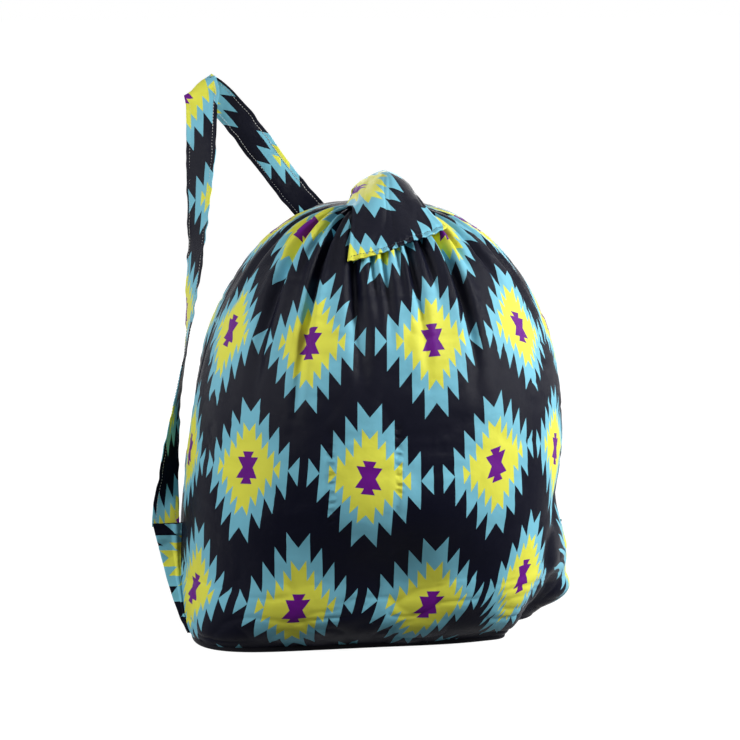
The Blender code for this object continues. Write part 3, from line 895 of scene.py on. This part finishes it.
# The flap down the front: share of the way to the hem, lift in units of FLAP_LIFT, how much
# narrower it is drawn to each side, and how far it has slipped to the right.
FLAP_DOWN = ((0.40, 2.4, 0.0045, -0.0020), (0.72, 1.0, 0.0025, -0.0010), (1.00, 1.0, 0.0, 0.0))


def smooth_path(points, pitch):
    """A smooth curve through every point, in cubic spans cut into steps of about pitch.
    Each span blends its ends' places and slopes by the cubic Hermite weights."""
    points = np.asarray(points, float)
    lengths = np.linalg.norm(np.diff(points[:, :3], axis=0), axis=1)
    knots = climb(points[:, :3])
    slopes = np.gradient(points, knots, axis=0)
    rows = [points[:1]]
    for span, length in enumerate(lengths):
        steps = max(1, round(length / pitch))
        t = (np.arange(1, steps + 1) / steps)[:, None]
        start = (1 + 2 * t) * (1 - t) ** 2 * points[span] + t * (1 - t) ** 2 * slopes[span] * length
        finish = t**2 * (3 - 2 * t) * points[span + 1] - t**2 * (1 - t) * slopes[span + 1] * length
        rows.append(start + finish)
    return np.concatenate(rows)


def flap_routes(across):
    """Lengthwise lines of the flap, for an array of places across it from -1 to 1: up
    behind the casing, over it and down the front of the body."""
    top = NECK_HEIGHT + CASING_HEIGHT + FLAP_CLEARANCE + FLAP_CLOTH / 2
    radius = MOUTH_WIDTH / 2 + RUFFLE_DEPTH + 0.0006 + FLAP_CLOTH / 2
    middle = body_middle(NECK_HEIGHT)
    turn = across * FLAP_ROOT_ANGLE
    crest_half = FLAP_CREST_WIDTH / 2
    crest_x = middle + FLAP_SHIFT / 2 + across * crest_half
    droop = FLAP_DROOP * np.clip(5 * np.abs(across) - 4, 0.0, 1.0)
    route = []
    for reach, spread, rise in FLAP_OVER:
        narrow = middle + radius * np.sin(turn) * min(1.0, reach + 0.12)
        x = narrow + (crest_x - narrow) * spread
        sunk = 1.0 - mouth_sag(x - middle) / (top - NECK_HEIGHT)
        height = NECK_HEIGHT + (top + rise - NECK_HEIGHT) * sunk - droop * spread**3
        route.append(np.stack([x, radius * reach * np.cos(turn), height], -1))
    hem_level = level_at(NECK_HEIGHT - FLAP_HEM_DROP + FLAP_SKEW * across)
    for share, lift, drawn_in, slip in FLAP_DOWN:
        level = 2.0 - (2.0 - hem_level) * share
        half = crest_half + (FLAP_HEM_WIDTH / 2 - crest_half) * share - drawn_in
        angle = np.arcsin((across * half + FLAP_SHIFT + slip) / (girth(level)[0] + FLAP_LIFT))
        route.append(off_body(angle, level, np.full(across.shape, FLAP_LIFT * lift + FLAP_CLOTH)))
    return np.array(route)


def make_flap():
    """The routes joined into a grid, then puckered along the stitches and softly creased,
    outwards along the cross product of its slopes along and across."""
    across = np.linspace(-1.0, 1.0, FLAP_COLUMNS)
    routes = flap_routes(across)
    rows = smooth_path(routes.reshape(len(routes), -1), FLAP_PITCH)
    points = rows.reshape(len(rows), -1, 3)
    down = climb(points)
    to_hem = down[-1:] - down
    side = across[None, :] * FLAP_HEM_WIDTH / 2
    to_side = (1.0 - np.abs(across))[None, :] * FLAP_HEM_WIDTH / 2
    normals = unit(np.cross(np.gradient(points, axis=0), np.gradient(points, axis=1)))
    hem = bell((to_hem - FLAP_STITCH) / 0.0022)
    pucker = np.sin(2 * np.pi * side / FLAP_PUCKER_PITCH + 1.5 * np.sin(side * 90))
    edge = 1.0 - smooth(to_hem / 0.014)
    lift = FLAP_PUCKER * pucker * edge - FLAP_TUCK * hem + 0.0006 * bell(to_hem / 0.0022)
    lift = lift - 0.0007 * bell((to_side - 0.0045) / 0.0018)
    x = side / 0.12 + 0.5
    below = smooth((down - 0.03) / 0.02)
    lift = lift + FLAP_WAVE * wander(x, down * 4.0, 21, 5) * below
    crease = 1.0 - np.abs(wander(x + down * 1.5, down * 1.2, 4, 9))
    points = points + normals * (lift - FLAP_CREASE * crease**3 * below)[..., None]
    return points, normals, down, to_hem


# The print lies turned on the flap and is dragged by its folds. Its place is a sum of terms:
# powers of the metres right and down from FLAP_PRINT_MIDDLE, and factors for each axis. Out
# of FLAP_PRINT_REACH, where the flap is out of sight, only the first powers still grow.
FLAP_PRINT_MIDDLE = (0.035, 0.085)
FLAP_PRINT_REACH = ((-0.055, 0.040), (-0.020, 0.085))
FLAP_PRINT = (
    (0, 0, 0.0304, -0.0308),
    (1, 0, 0.9643, -0.5779),
    (0, 1, -0.3299, -0.7905),
    (2, 0, -7.0885, -23.111),
    (1, 1, -3.5124, 3.9146),
    (0, 2, -1.9841, -9.6912),
    (3, 0, -52.5806, -121.3886),
    (2, 1, 95.4012, 345.5134),
    (1, 2, 102.31, 110.5714),
    (0, 3, 30.5897, 83.4703),
)


def flap_print_place(side, down):
    """The place on the print for a place on the flap."""
    side = side - FLAP_PRINT_MIDDLE[0]
    down = down - FLAP_PRINT_MIDDLE[1]
    near_side = np.clip(side, *FLAP_PRINT_REACH[0])
    near_down = np.clip(down, *FLAP_PRINT_REACH[1])
    place = np.zeros(side.shape + (2,))
    for power_side, power_down, across, up in FLAP_PRINT:
        term = near_side**power_side * near_down**power_down
        if power_side + power_down == 1:
            term = side**power_side * down**power_down
        place += term[..., None] * (across, up)
    return place


flap_points, flap_normals, flap_down, flap_to_hem = make_flap()
flap_place = flap_print_place(flap_points[..., 0], flap_down)
flap = cloth_grid("closing_flap_cloth", flap_points[:, ::-1], flap_place[:, ::-1])
flap_finish = cloth_finish("printed_flap_cloth")
dress(thicken(flap, FLAP_CLOTH, 0.0), flap_finish, "closing_flap")

STITCH_PITCH = 0.0031
STITCH_LENGTH = 0.0023
STITCH_THICK = 0.0006
TWIST_RIDGES = 1500.0
TWIST_DEPTH = 0.0001
DARK_THREAD = (0.035, 0.035, 0.045)
PALE_THREAD = (0.52, 0.52, 0.50)
# A stitch's six rings: place along it in lengths, width and rise in half thicknesses.
STITCH_RINGS = ((-0.5, 0.35, -0.9), (-0.42, 0.8, 0.2), (-0.15, 1.0, 0.7),
                (0.15, 1.0, 0.7), (0.42, 0.8, 0.2), (0.5, 0.35, -0.9))


def stitch_row(name, line, normals):
    """A row of stitches along a line: each is a short bar, six-sided, whose ends dip into
    the cloth. The bars sit at even steps of the line's length, half sunk in the cloth."""
    knots = climb(line)
    spots = np.arange(STITCH_PITCH / 2, knots[-1], STITCH_PITCH)

    def at(values, along):
        """The values of a line at lengths along it."""
        return np.stack([np.interp(along, knots, values[:, axis]) for axis in range(3)], -1)

    centre = at(line, spots)
    outward = unit(at(normals, spots))
    along = unit(at(line, spots + STITCH_LENGTH / 2) - at(line, spots - STITCH_LENGTH / 2))
    side = np.cross(along, outward)
    run, width, rise = np.array(STITCH_RINGS).T
    width = width * STITCH_THICK / 2
    rise = rise * STITCH_THICK / 2
    angle = np.linspace(0.0, 2 * np.pi, 6, endpoint=False)
    bar_along = np.broadcast_to((run * STITCH_LENGTH)[:, None], (6, 6))
    bar_side = width[:, None] * np.cos(angle)
    bar_up = rise[:, None] + width[:, None] * np.sin(angle)
    points = centre[:, None, None] + bar_along[..., None] * along[:, None, None]
    points = points + bar_side[..., None] * side[:, None, None]
    points = points + bar_up[..., None] * outward[:, None, None]
    ring = np.arange(5)[:, None] * 6
    spoke = np.arange(6)[None, :]
    after = (spoke + 1) % 6
    walls = [ring + spoke, ring + 6 + spoke, ring + 6 + after, ring + after]
    first = np.arange(len(spots))[:, None, None] * 36
    quads = (np.stack(walls, -1).reshape(1, -1, 4) + first).reshape(-1, 4)
    caps = (np.array([[0, 1, 2, 3, 4, 5], [35, 34, 33, 32, 31, 30]])[None] + first).reshape(-1, 6)
    mesh = bpy.data.meshes.new(name)
    mesh.from_pydata(points.reshape(-1, 3).tolist(), [], quads.tolist() + caps.tolist())
    return smooth_piece(name, mesh)


def thread_finish(name, ink):
    """Twisted polyester thread: one colour, with fine slanting ridges and a soft gloss."""
    material, tree, shader, point = new_finish(name)
    twist = noise(tree, point, TWIST_RIDGES, 1.0)
    bump = node(tree, "Bump", {"Height": twist, "Distance": TWIST_DEPTH}).outputs["Normal"]
    colour = shaded(tree, ink, twist, 0.75, 1.2)
    fill(tree, shader, {"Base Color": colour, "Roughness": 0.55, "Normal": bump})
    return material


dark_thread = thread_finish("dark_thread", DARK_THREAD)
pale_thread = thread_finish("pale_thread", PALE_THREAD)
hem_row = np.argmin(np.abs(flap_to_hem - FLAP_STITCH), axis=0)
hem_columns = np.arange(2, FLAP_COLUMNS - 2)
hem_line = flap_points[hem_row[hem_columns], hem_columns]
hem_out = flap_normals[hem_row[hem_columns], hem_columns]
hem_stitches = stitch_row("flap_hem_stitches", hem_line + hem_out * FLAP_CLOTH / 2, hem_out)
dress(hem_stitches, dark_thread)


# Anchor tabs
# Triangles of the printed cloth, folded double and sewn into the side seams at the base.
# A strap's lower end is sewn into each tab's top edge.
WING_HEIGHT = 0.101
WING_WIDTH = 0.030
WING_CLOTH = 0.0016
WING_GAP = -0.0007
TAB_HEART_HEIGHT = 0.0655
TAB_HEART_INSIDE = 0.023
TAB_FOLD = 0.0022
TAB_HEM = 0.0007
TAB_RIPPLE = 0.0007


def tab_direction(side):
    """Which way each anchor tab lies: the left one stands out, the right one lies back."""
    return np.array([-1.0, 0.0, 0.0]) if side < 0 else np.array([-0.10, 0.995, 0.0])


def tab_seam(side, share):
    """Points along the side seam, 0 at the floor and 1 at the top of the anchor tab."""
    level = level_at(WING_HEIGHT * share)
    lift = WING_GAP + (WING_CLOTH / 2 if side > 0 else 0.0)
    return off_body(side * seam_angle(level, side), level, np.full(len(share), lift))


def make_tab(side, name, node_name):
    """Rows down the seam, each a straight line out from it whose width grows with height,
    with one soft fold near the seam and a turned top edge."""
    share = np.linspace(0.05, 1.0, 70)
    across = np.linspace(0.0, 1.0, 24)[None, :]
    seam = tab_seam(side, share)
    share = share[:, None]
    width = WING_WIDTH * np.clip(share, 0.10, 1.0)
    out = tab_direction(side)
    face = unit(np.cross(out, UP)) * -side
    points = seam[:, None] + (width * across)[..., None] * out
    fold = TAB_FOLD * bell((across - 0.22) / 0.10) * smooth(share * 3.0)
    hem = TAB_HEM * bell((share - 0.90) / 0.012)
    ripple = TAB_RIPPLE * np.sin(share * 40.0 + 3.0 * across) * across**2
    points = points - face * (fold + hem - ripple)[..., None]
    up = share * WING_HEIGHT - TAB_HEART_HEIGHT
    place = np.stack(np.broadcast_arrays(up, width * across + TAB_HEART_INSIDE), -1)
    if side > 0:
        points, place = points[:, ::-1], place[:, ::-1]
    piece = thicken(cloth_grid(name, points, place), WING_CLOTH, 0.0)
    dress(piece, tab_finish, node_name)


tab_finish = cloth_finish("printed_tab_cloth")
make_tab(-1, "tab_left", "wing_left")
make_tab(1, "tab_right", "wing_right")


# Shoulder straps
# Strips of the printed cloth folded to a flat band and stitched along both edges with pale
# thread. Their edges are a little ruffled. The left one stands up, the right one is slack.
STRAP_WIDTH = 0.031
STRAP_CLOTH = 0.0015
STRAP_PITCH = 0.0024
STRAP_EDGE = 0.0040
STRAP_ROOT_DROP = 0.038
STRAP_ROOT_SPREAD = 0.070
STRAP_ROOT_SPLAY = 0.016
STRAP_SEWN = 0.022
STRAP_SEWN_LOW = 0.004
STRAP_LEFT_LIFT = 0.0032
STRAP_RIGHT_LIFT = 0.0016
STRAP_PEAK_OUT = 0.1285
STRAP_PEAK_FORWARD = 0.012
STRAP_PEAK_RISE = 0.1445
STRAP_FOLD_GAP = 0.008
STRAP_CREASE = (0.72, 0.0, 0.69)
# The standing strap on its way up: share of the way, and how far it arches off the line.
STRAP_ARCH = ((0.60, 0.0050), (0.78, 0.0075), (0.92, 0.0055))
STRAP_BOW = 0.0078
STRAP_SWING = 0.0045
STRAP_HANG = 0.022
STRAP_TUCK = 0.024
SEAM_CLEARANCE = 0.0006
# The standing strap on its way down: share of the way, and its turn in radians.
STRAP_TWIST = ((0.08, 0.20), (0.24, 0.80), (0.40, 1.15), (0.57, 1.57), (0.75, 1.95), (0.90, 2.45))
# The slack strap: angle, share of the neck's height, share of STRAP_HANG, width direction.
STRAP_SLACK = (
    (2.66, 0.720, 0.7, (1.0, 0.20, 0.1)),
    (2.70, 0.460, 1.0, (1.0, 0.25, 0.3)),
    (2.60, 0.270, 1.0, (0.7, 0.25, 0.7)),
    (2.30, 0.180, 0.8, (0.15, 0.05, 0.95)),
    (1.95, 0.165, 0.6, (0.0, 0.00, 1.0)),
)
# Its diagonal fold under the tab: metres back, up and out, and the width as back and up.
STRAP_FOLD = (
    (0.022, 0.000, 0.0022, (0.0, 1.0)),
    (0.004, 0.000, 0.0022, (-0.7, 1.0)),
    (0.000, -0.002, 0.0007, (-1.0, 0.5)),
    (0.000, 0.008, 0.0000, (-1.0, 0.0)),
)

# The strap's print is smaller than the body's and runs along it, its nearest column
# STRAP_COLUMN from the middle. One row lies at the folded peak. Before the peak the print is
# stretched by PRINT_PULL; after it, by FALL_PULL, starting again FOLD_TAKE further on.
STRAP_PRINT = 0.100
STRAP_COLUMN = 0.0355
PRINT_PULL = 0.885
FALL_PULL = 0.895
FOLD_TAKE = 0.006
FOLD_SPREAD = 0.25
FOLD_ARCH = 0.0045
END_NARROWING = 0.12
# The band's section is squared by the powers in SECTION, pressed by STITCH_PRESS along its
# stitched lines and puffed by MIDDLE_PUFF between them. Its edges waver by EDGE_RUFFLE.
SECTION = (0.55, 0.45)
STITCH_PRESS = 0.35
MIDDLE_PUFF = 0.25
EDGE_RUFFLE = 0.0013
BAND_SAG = 0.0007
WIDTH_WAVER = 0.0006
STITCH_WAVER = 0.00041


def make_strap(name, route, sides, peak, seed, node_name):
    """A flat band: its centre route smoothed, and across it a closed section that is puffed
    between the two stitched lines. The edges waver along the normal by a random ruffle, and
    the band spreads where it is folded at its peak, which is peak metres along it."""
    frames = smooth_path(np.hstack([route, unit(np.asarray(sides, float))]), STRAP_PITCH)
    centre = frames[:, :3]
    side = unit(frames[:, 3:])
    along = unit(np.gradient(centre, axis=0))
    side = unit(side - along * np.sum(side * along, axis=1, keepdims=True))
    normal = np.cross(along, side)
    length = climb(centre)
    around = np.linspace(0.0, 2 * np.pi, 41)[:-1]
    across, face = (
        (np.sign(wave) * np.abs(wave) ** power)[None, :]
        for wave, power in zip((np.cos(around), np.sin(around)), SECTION)
    )
    from_edge = (1.0 - np.abs(across)) * STRAP_WIDTH / 2
    thick = STRAP_CLOTH / 2 * (1.0 - STITCH_PRESS * bell((from_edge - STRAP_EDGE) / 0.0012))
    thick = thick * (1.0 + MIDDLE_PUFF * smooth((from_edge - STRAP_EDGE) / 0.006))
    thick = thick * (1.0 - 0.4 * smooth((length - length[-1] + 0.010) / 0.006))[:, None]
    ease = smooth(length / 0.02) * smooth((length[-1] - length) / 0.02)
    wave = wander(length[:, None] * 2.0, across * 0.02 + 0.5, seed, 60)
    ripple = EDGE_RUFFLE * wave * np.abs(across) ** 3 * ease[:, None]
    slack = wander(length[:, None] * 1.1, across * 0.08 + 0.3, seed + 1, 16)
    wide = wander(length * 1.7, 0.2 + 0 * length, seed + 2, 60)
    half = STRAP_WIDTH / 2 + WIDTH_WAVER * wide * ease
    spread = FOLD_SPREAD * bell((length - peak) / 0.016)
    half = half * (1.0 + spread - END_NARROWING * smooth((length - 0.55) / 0.1))
    rise = face * thick + ripple + BAND_SAG * slack * ease[:, None]
    points = centre[:, None] + (across * half[:, None])[..., None] * side[:, None]
    points = points + rise[..., None] * normal[:, None]
    arch = FOLD_ARCH * bell((length - peak) / 0.013)[:, None] * (1.0 - across**2)
    points = points + arch[..., None] * np.array([-0.6, 0.0, 0.8])
    before = (length - peak)[:, None] * PRINT_PULL
    run = climb(points)
    after = (run - run[np.searchsorted(length, peak + FOLD_TAKE)]) * FALL_PULL
    place_along = np.where((length < peak)[:, None], before, after)
    column = np.where(length < peak, STRAP_COLUMN, STRAP_COLUMN - 0.002)[:, None]
    place = np.stack([across * STRAP_WIDTH / 2 - column, place_along + STRAP_PRINT], -1)
    place = np.concatenate([place, place[:, :1]], axis=1)
    piece = cloth_grid(name, points, place, closed=True, capped=(True, True))
    dress(piece, strap_finish, node_name)
    lines = []
    for edge in (-1.0, 1.0):
        inset = half[:, None] - STRAP_EDGE
        waver = wander(length * 2.0, edge * 0.7 * 0.02 + 0.5 + 0 * length, seed, 60)
        middle_line = centre + edge * inset * side + (STITCH_WAVER * waver * ease)[:, None] * normal
        for facing in (-1.0, 1.0):
            line = middle_line + facing * normal * STRAP_CLOTH / 2 * 0.72
            lines.append(stitch_row(f"{name}_thread", line, facing * normal))
    stitches = lines[0]
    with bpy.context.temp_override(active_object=stitches, selected_editable_objects=lines):
        bpy.ops.object.join()
    stitches.name = f"{name}_stitches"
    dress(stitches, pale_thread)


def strap_root(side, splay, lift):
    """The sewn end of a strap on the back: its low and high points, and its width there."""
    level = level_at(NECK_HEIGHT - STRAP_ROOT_DROP - np.array([STRAP_SEWN, 0.0]))
    reach = STRAP_ROOT_SPREAD / 2 - np.array([splay, 0.0])
    angle = np.pi - side * np.arcsin(reach / girth(level)[1])
    low, high = off_body(angle, level, np.full(2, lift))
    return low, high, np.cross(high - body(angle[1], level[1]), high - low)


def strap_end(side):
    """Middle of an anchor tab's top edge, where the strap's lower end is sewn in."""
    top = tab_seam(side, np.array([1.0]))[0] + tab_direction(side) * WING_WIDTH * 0.56
    return top + SEAM_CLEARANCE * UP


def standing_route():
    """From the back up to a folded peak, then down, half a turn, to its tab."""
    low, high, root_side = strap_root(-1, STRAP_ROOT_SPLAY, STRAP_LEFT_LIFT)
    end = strap_end(-1)
    peak = high + np.array([-STRAP_PEAK_OUT, -STRAP_PEAK_FORWARD, STRAP_PEAK_RISE])
    rise = peak - high
    front_shift = np.array([0.0, -STRAP_FOLD_GAP, 0.0])
    drop = end - peak - front_shift
    square = np.cross((0.0, 1.0, 0.0), rise)
    route = [low, high, high + 0.25 * rise]
    sides = [root_side, root_side, square]
    for share, lift in STRAP_ARCH:
        route.append(high + share * rise + lift * np.array([0.78, 0.0, 0.62]))
        sides.append(square)
    route += [peak + 0.2 * front_shift, peak + 0.8 * front_shift]
    sides += [STRAP_CREASE, STRAP_CREASE]
    for share, turn in STRAP_TWIST:
        bow = STRAP_BOW * np.sin(np.pi * share**0.8) - STRAP_SWING * bell((share - 0.8) / 0.15)
        route.append(peak + front_shift + share * drop + np.array([bow, 0.0, 0.0]))
        sides.append((np.cos(turn), -np.sin(turn), 0.0))
    return route + [end, end - STRAP_SEWN_LOW * UP], sides + [(-1.0, 0.0, 0.0), (-1.0, 0.0, 0.0)]


def slack_route():
    """Down behind the body, forward round its side, and folded up to its tab."""
    low, high, root_side = strap_root(1, -STRAP_ROOT_SPLAY / 2, STRAP_RIGHT_LIFT)
    end = strap_end(1)
    behind_tab = tab_direction(1)
    out = np.array([behind_tab[1], -behind_tab[0], 0.0])
    route = [high, low]
    sides = [root_side, root_side]
    for angle, share, hang, side in STRAP_SLACK:
        level = level_at(NECK_HEIGHT * share)
        route.append(off_body(np.array(angle), level, np.array(STRAP_HANG * hang)))
        sides.append(side)
    beside = (WING_CLOTH + STRAP_CLOTH) / 2 + SEAM_CLEARANCE
    fold = end + beside * out - STRAP_TUCK * UP
    for behind, rise, clear, (side_back, side_up) in STRAP_FOLD:
        route.append(fold + behind * behind_tab + rise * UP + clear * out)
        sides.append(side_back * behind_tab + side_up * UP)
    for share, rise in ((1.0, 0.0), (0.6, 0.0035), (0.0, 0.003), (0.0, 0.0)):
        route.append(end + share * beside * out + rise * UP)
        sides.append(-behind_tab)
    return route, sides


strap_finish = cloth_finish("printed_strap_cloth", pitch=STRAP_PRINT)
make_strap("strap_left_band", *standing_route(), 0.236, 31, "strap_left")
make_strap("strap_right_band", *slack_route(), 0.0, 47, "strap_right")


# Inner pocket
# A plain dark patch stitched to the inside of the front: its two side seams are the rows
# of puckers outside.
POCKET_WIDTH = 0.070
POCKET_HEIGHT = 0.110
POCKET_MIDDLE_HEIGHT = 0.180
POCKET_OFFSET = -0.012
POCKET_DEPTH = 0.0065
POCKET_BULGE = 0.004
POCKET_INK = (0.02, 0.02, 0.026)


def make_pocket():
    """A patch of the body's own shape a little inside it, bulging towards its open top."""
    ends = POCKET_MIDDLE_HEIGHT + np.array([-0.5, 0.5]) * POCKET_HEIGHT
    levels = np.linspace(*level_at(ends), 60)[:, None]
    half = np.arcsin(POCKET_WIDTH / BELLY_DEPTH)
    angle = POCKET_OFFSET / (BELLY_DEPTH / 2) + np.linspace(-half, half, 44)[None, :]
    angle, levels = np.broadcast_arrays(angle, levels)
    across = np.cos(np.linspace(-np.pi / 2, np.pi / 2, 44))
    share = np.linspace(0.0, 1.0, 60)[:, None] * across[None, :]
    points = off_body(angle, levels, -POCKET_DEPTH - POCKET_BULGE * share**2)
    place = np.stack([belly_arc(angle), climb(points)], -1)
    return thicken(cloth_grid("inner_pocket_cloth", points, place), CLOTH)


pocket_finish = cloth_finish("plain_pocket_cloth", POCKET_INK, 0.5)
pocket = dress(make_pocket(), pocket_finish, "inner_pocket")


# Floor, lights and background
# A plain pale floor that keeps the bag's soft shadow, a white surround, and square lamps at
# the right, at the left, above the front and behind.
FLOOR_SIZE = 40.0
FLOOR_COLOUR = 0.16
FLOOR_GLOW = 0.94
GLOW_NEAR = 0.5
GLOW_FAR = 1.6
WORLD_STRENGTH = 0.05
WHITE = (1.0, 1.0, 1.0, 1.0)
# The lamps: name, place, height of the point over the origin that each faces, size and watts.
LAMPS = (
    ("right_lamp", (1.26, -0.60, 0.84), 0.33, 0.5, 32.0),
    ("left_lamp", (-1.25, -0.52, 0.76), 0.33, 0.5, 14.0),
    ("top_lamp", (0.0, -0.80, 1.90), 0.33, 0.6, 4.0),
    ("back_lamp", (0.35, 1.60, 0.75), 0.25, 0.9, 10.0),
)


def background_rays(tree):
    """1 for what the camera sees, directly or in a reflection or through glass, else 0."""
    ray = node(tree, "LightPath").outputs
    direct = maths(tree, "MAXIMUM", ray["Is Camera Ray"], ray["Is Glossy Ray"])
    return maths(tree, "MAXIMUM", direct, ray["Is Transmission Ray"])


def make_floor():
    """A flat square. To the camera it glows a little, up to white far from the bag, and
    near the bag the lamps' light and shadow show on it."""
    edge = np.array([-0.5, 0.5]) * FLOOR_SIZE
    points = np.stack([*np.meshgrid(edge, edge), np.zeros((2, 2))], -1)
    piece = cloth_grid("floor", points, points[..., :2])
    material, tree, shader, point = new_finish("pale_floor")
    far = node(tree, "VectorMath", {0: point}, operation="LENGTH").outputs["Value"]
    glow = ranged(tree, far, GLOW_NEAR, GLOW_FAR, FLOOR_GLOW, 1.0)
    fill(tree, shader, {
        "Base Color": (FLOOR_COLOUR, FLOOR_COLOUR, FLOOR_COLOUR, 1.0),
        "Roughness": 0.9,
        "Specular IOR Level": 0.0,
        "Emission Color": WHITE,
        "Emission Strength": maths(tree, "MULTIPLY", background_rays(tree), glow),
    })
    piece.data.materials.append(material)
    return piece


make_floor()

for name, place, aim, size, watts in LAMPS:
    light = bpy.data.lights.new(name, "AREA")
    light.shape = "SQUARE"
    light.size = size
    light.energy = watts
    lamp = put_in_scene(name, light)
    lamp.location = place
    from_aim = lamp.location - Vector((0.0, 0.0, aim))
    lamp.rotation_euler = from_aim.to_track_quat("Z", "Y").to_euler()

world = bpy.data.worlds.new("surround")
bpy.context.scene.world = world
world.use_nodes = True
sky = world.node_tree
plain = fill(sky, sky.nodes["Background"], {"Color": WHITE, "Strength": WORLD_STRENGTH}).outputs[0]
seen = node(sky, "Background", {"Color": WHITE, "Strength": 1.0}).outputs[0]
mixed = node(sky, "MixShader", {0: background_rays(sky), 1: plain, 2: seen}).outputs[0]
fill(sky, sky.nodes["World Output"], {"Surface": mixed})

bpy.context.scene.view_settings.view_transform = "Standard"
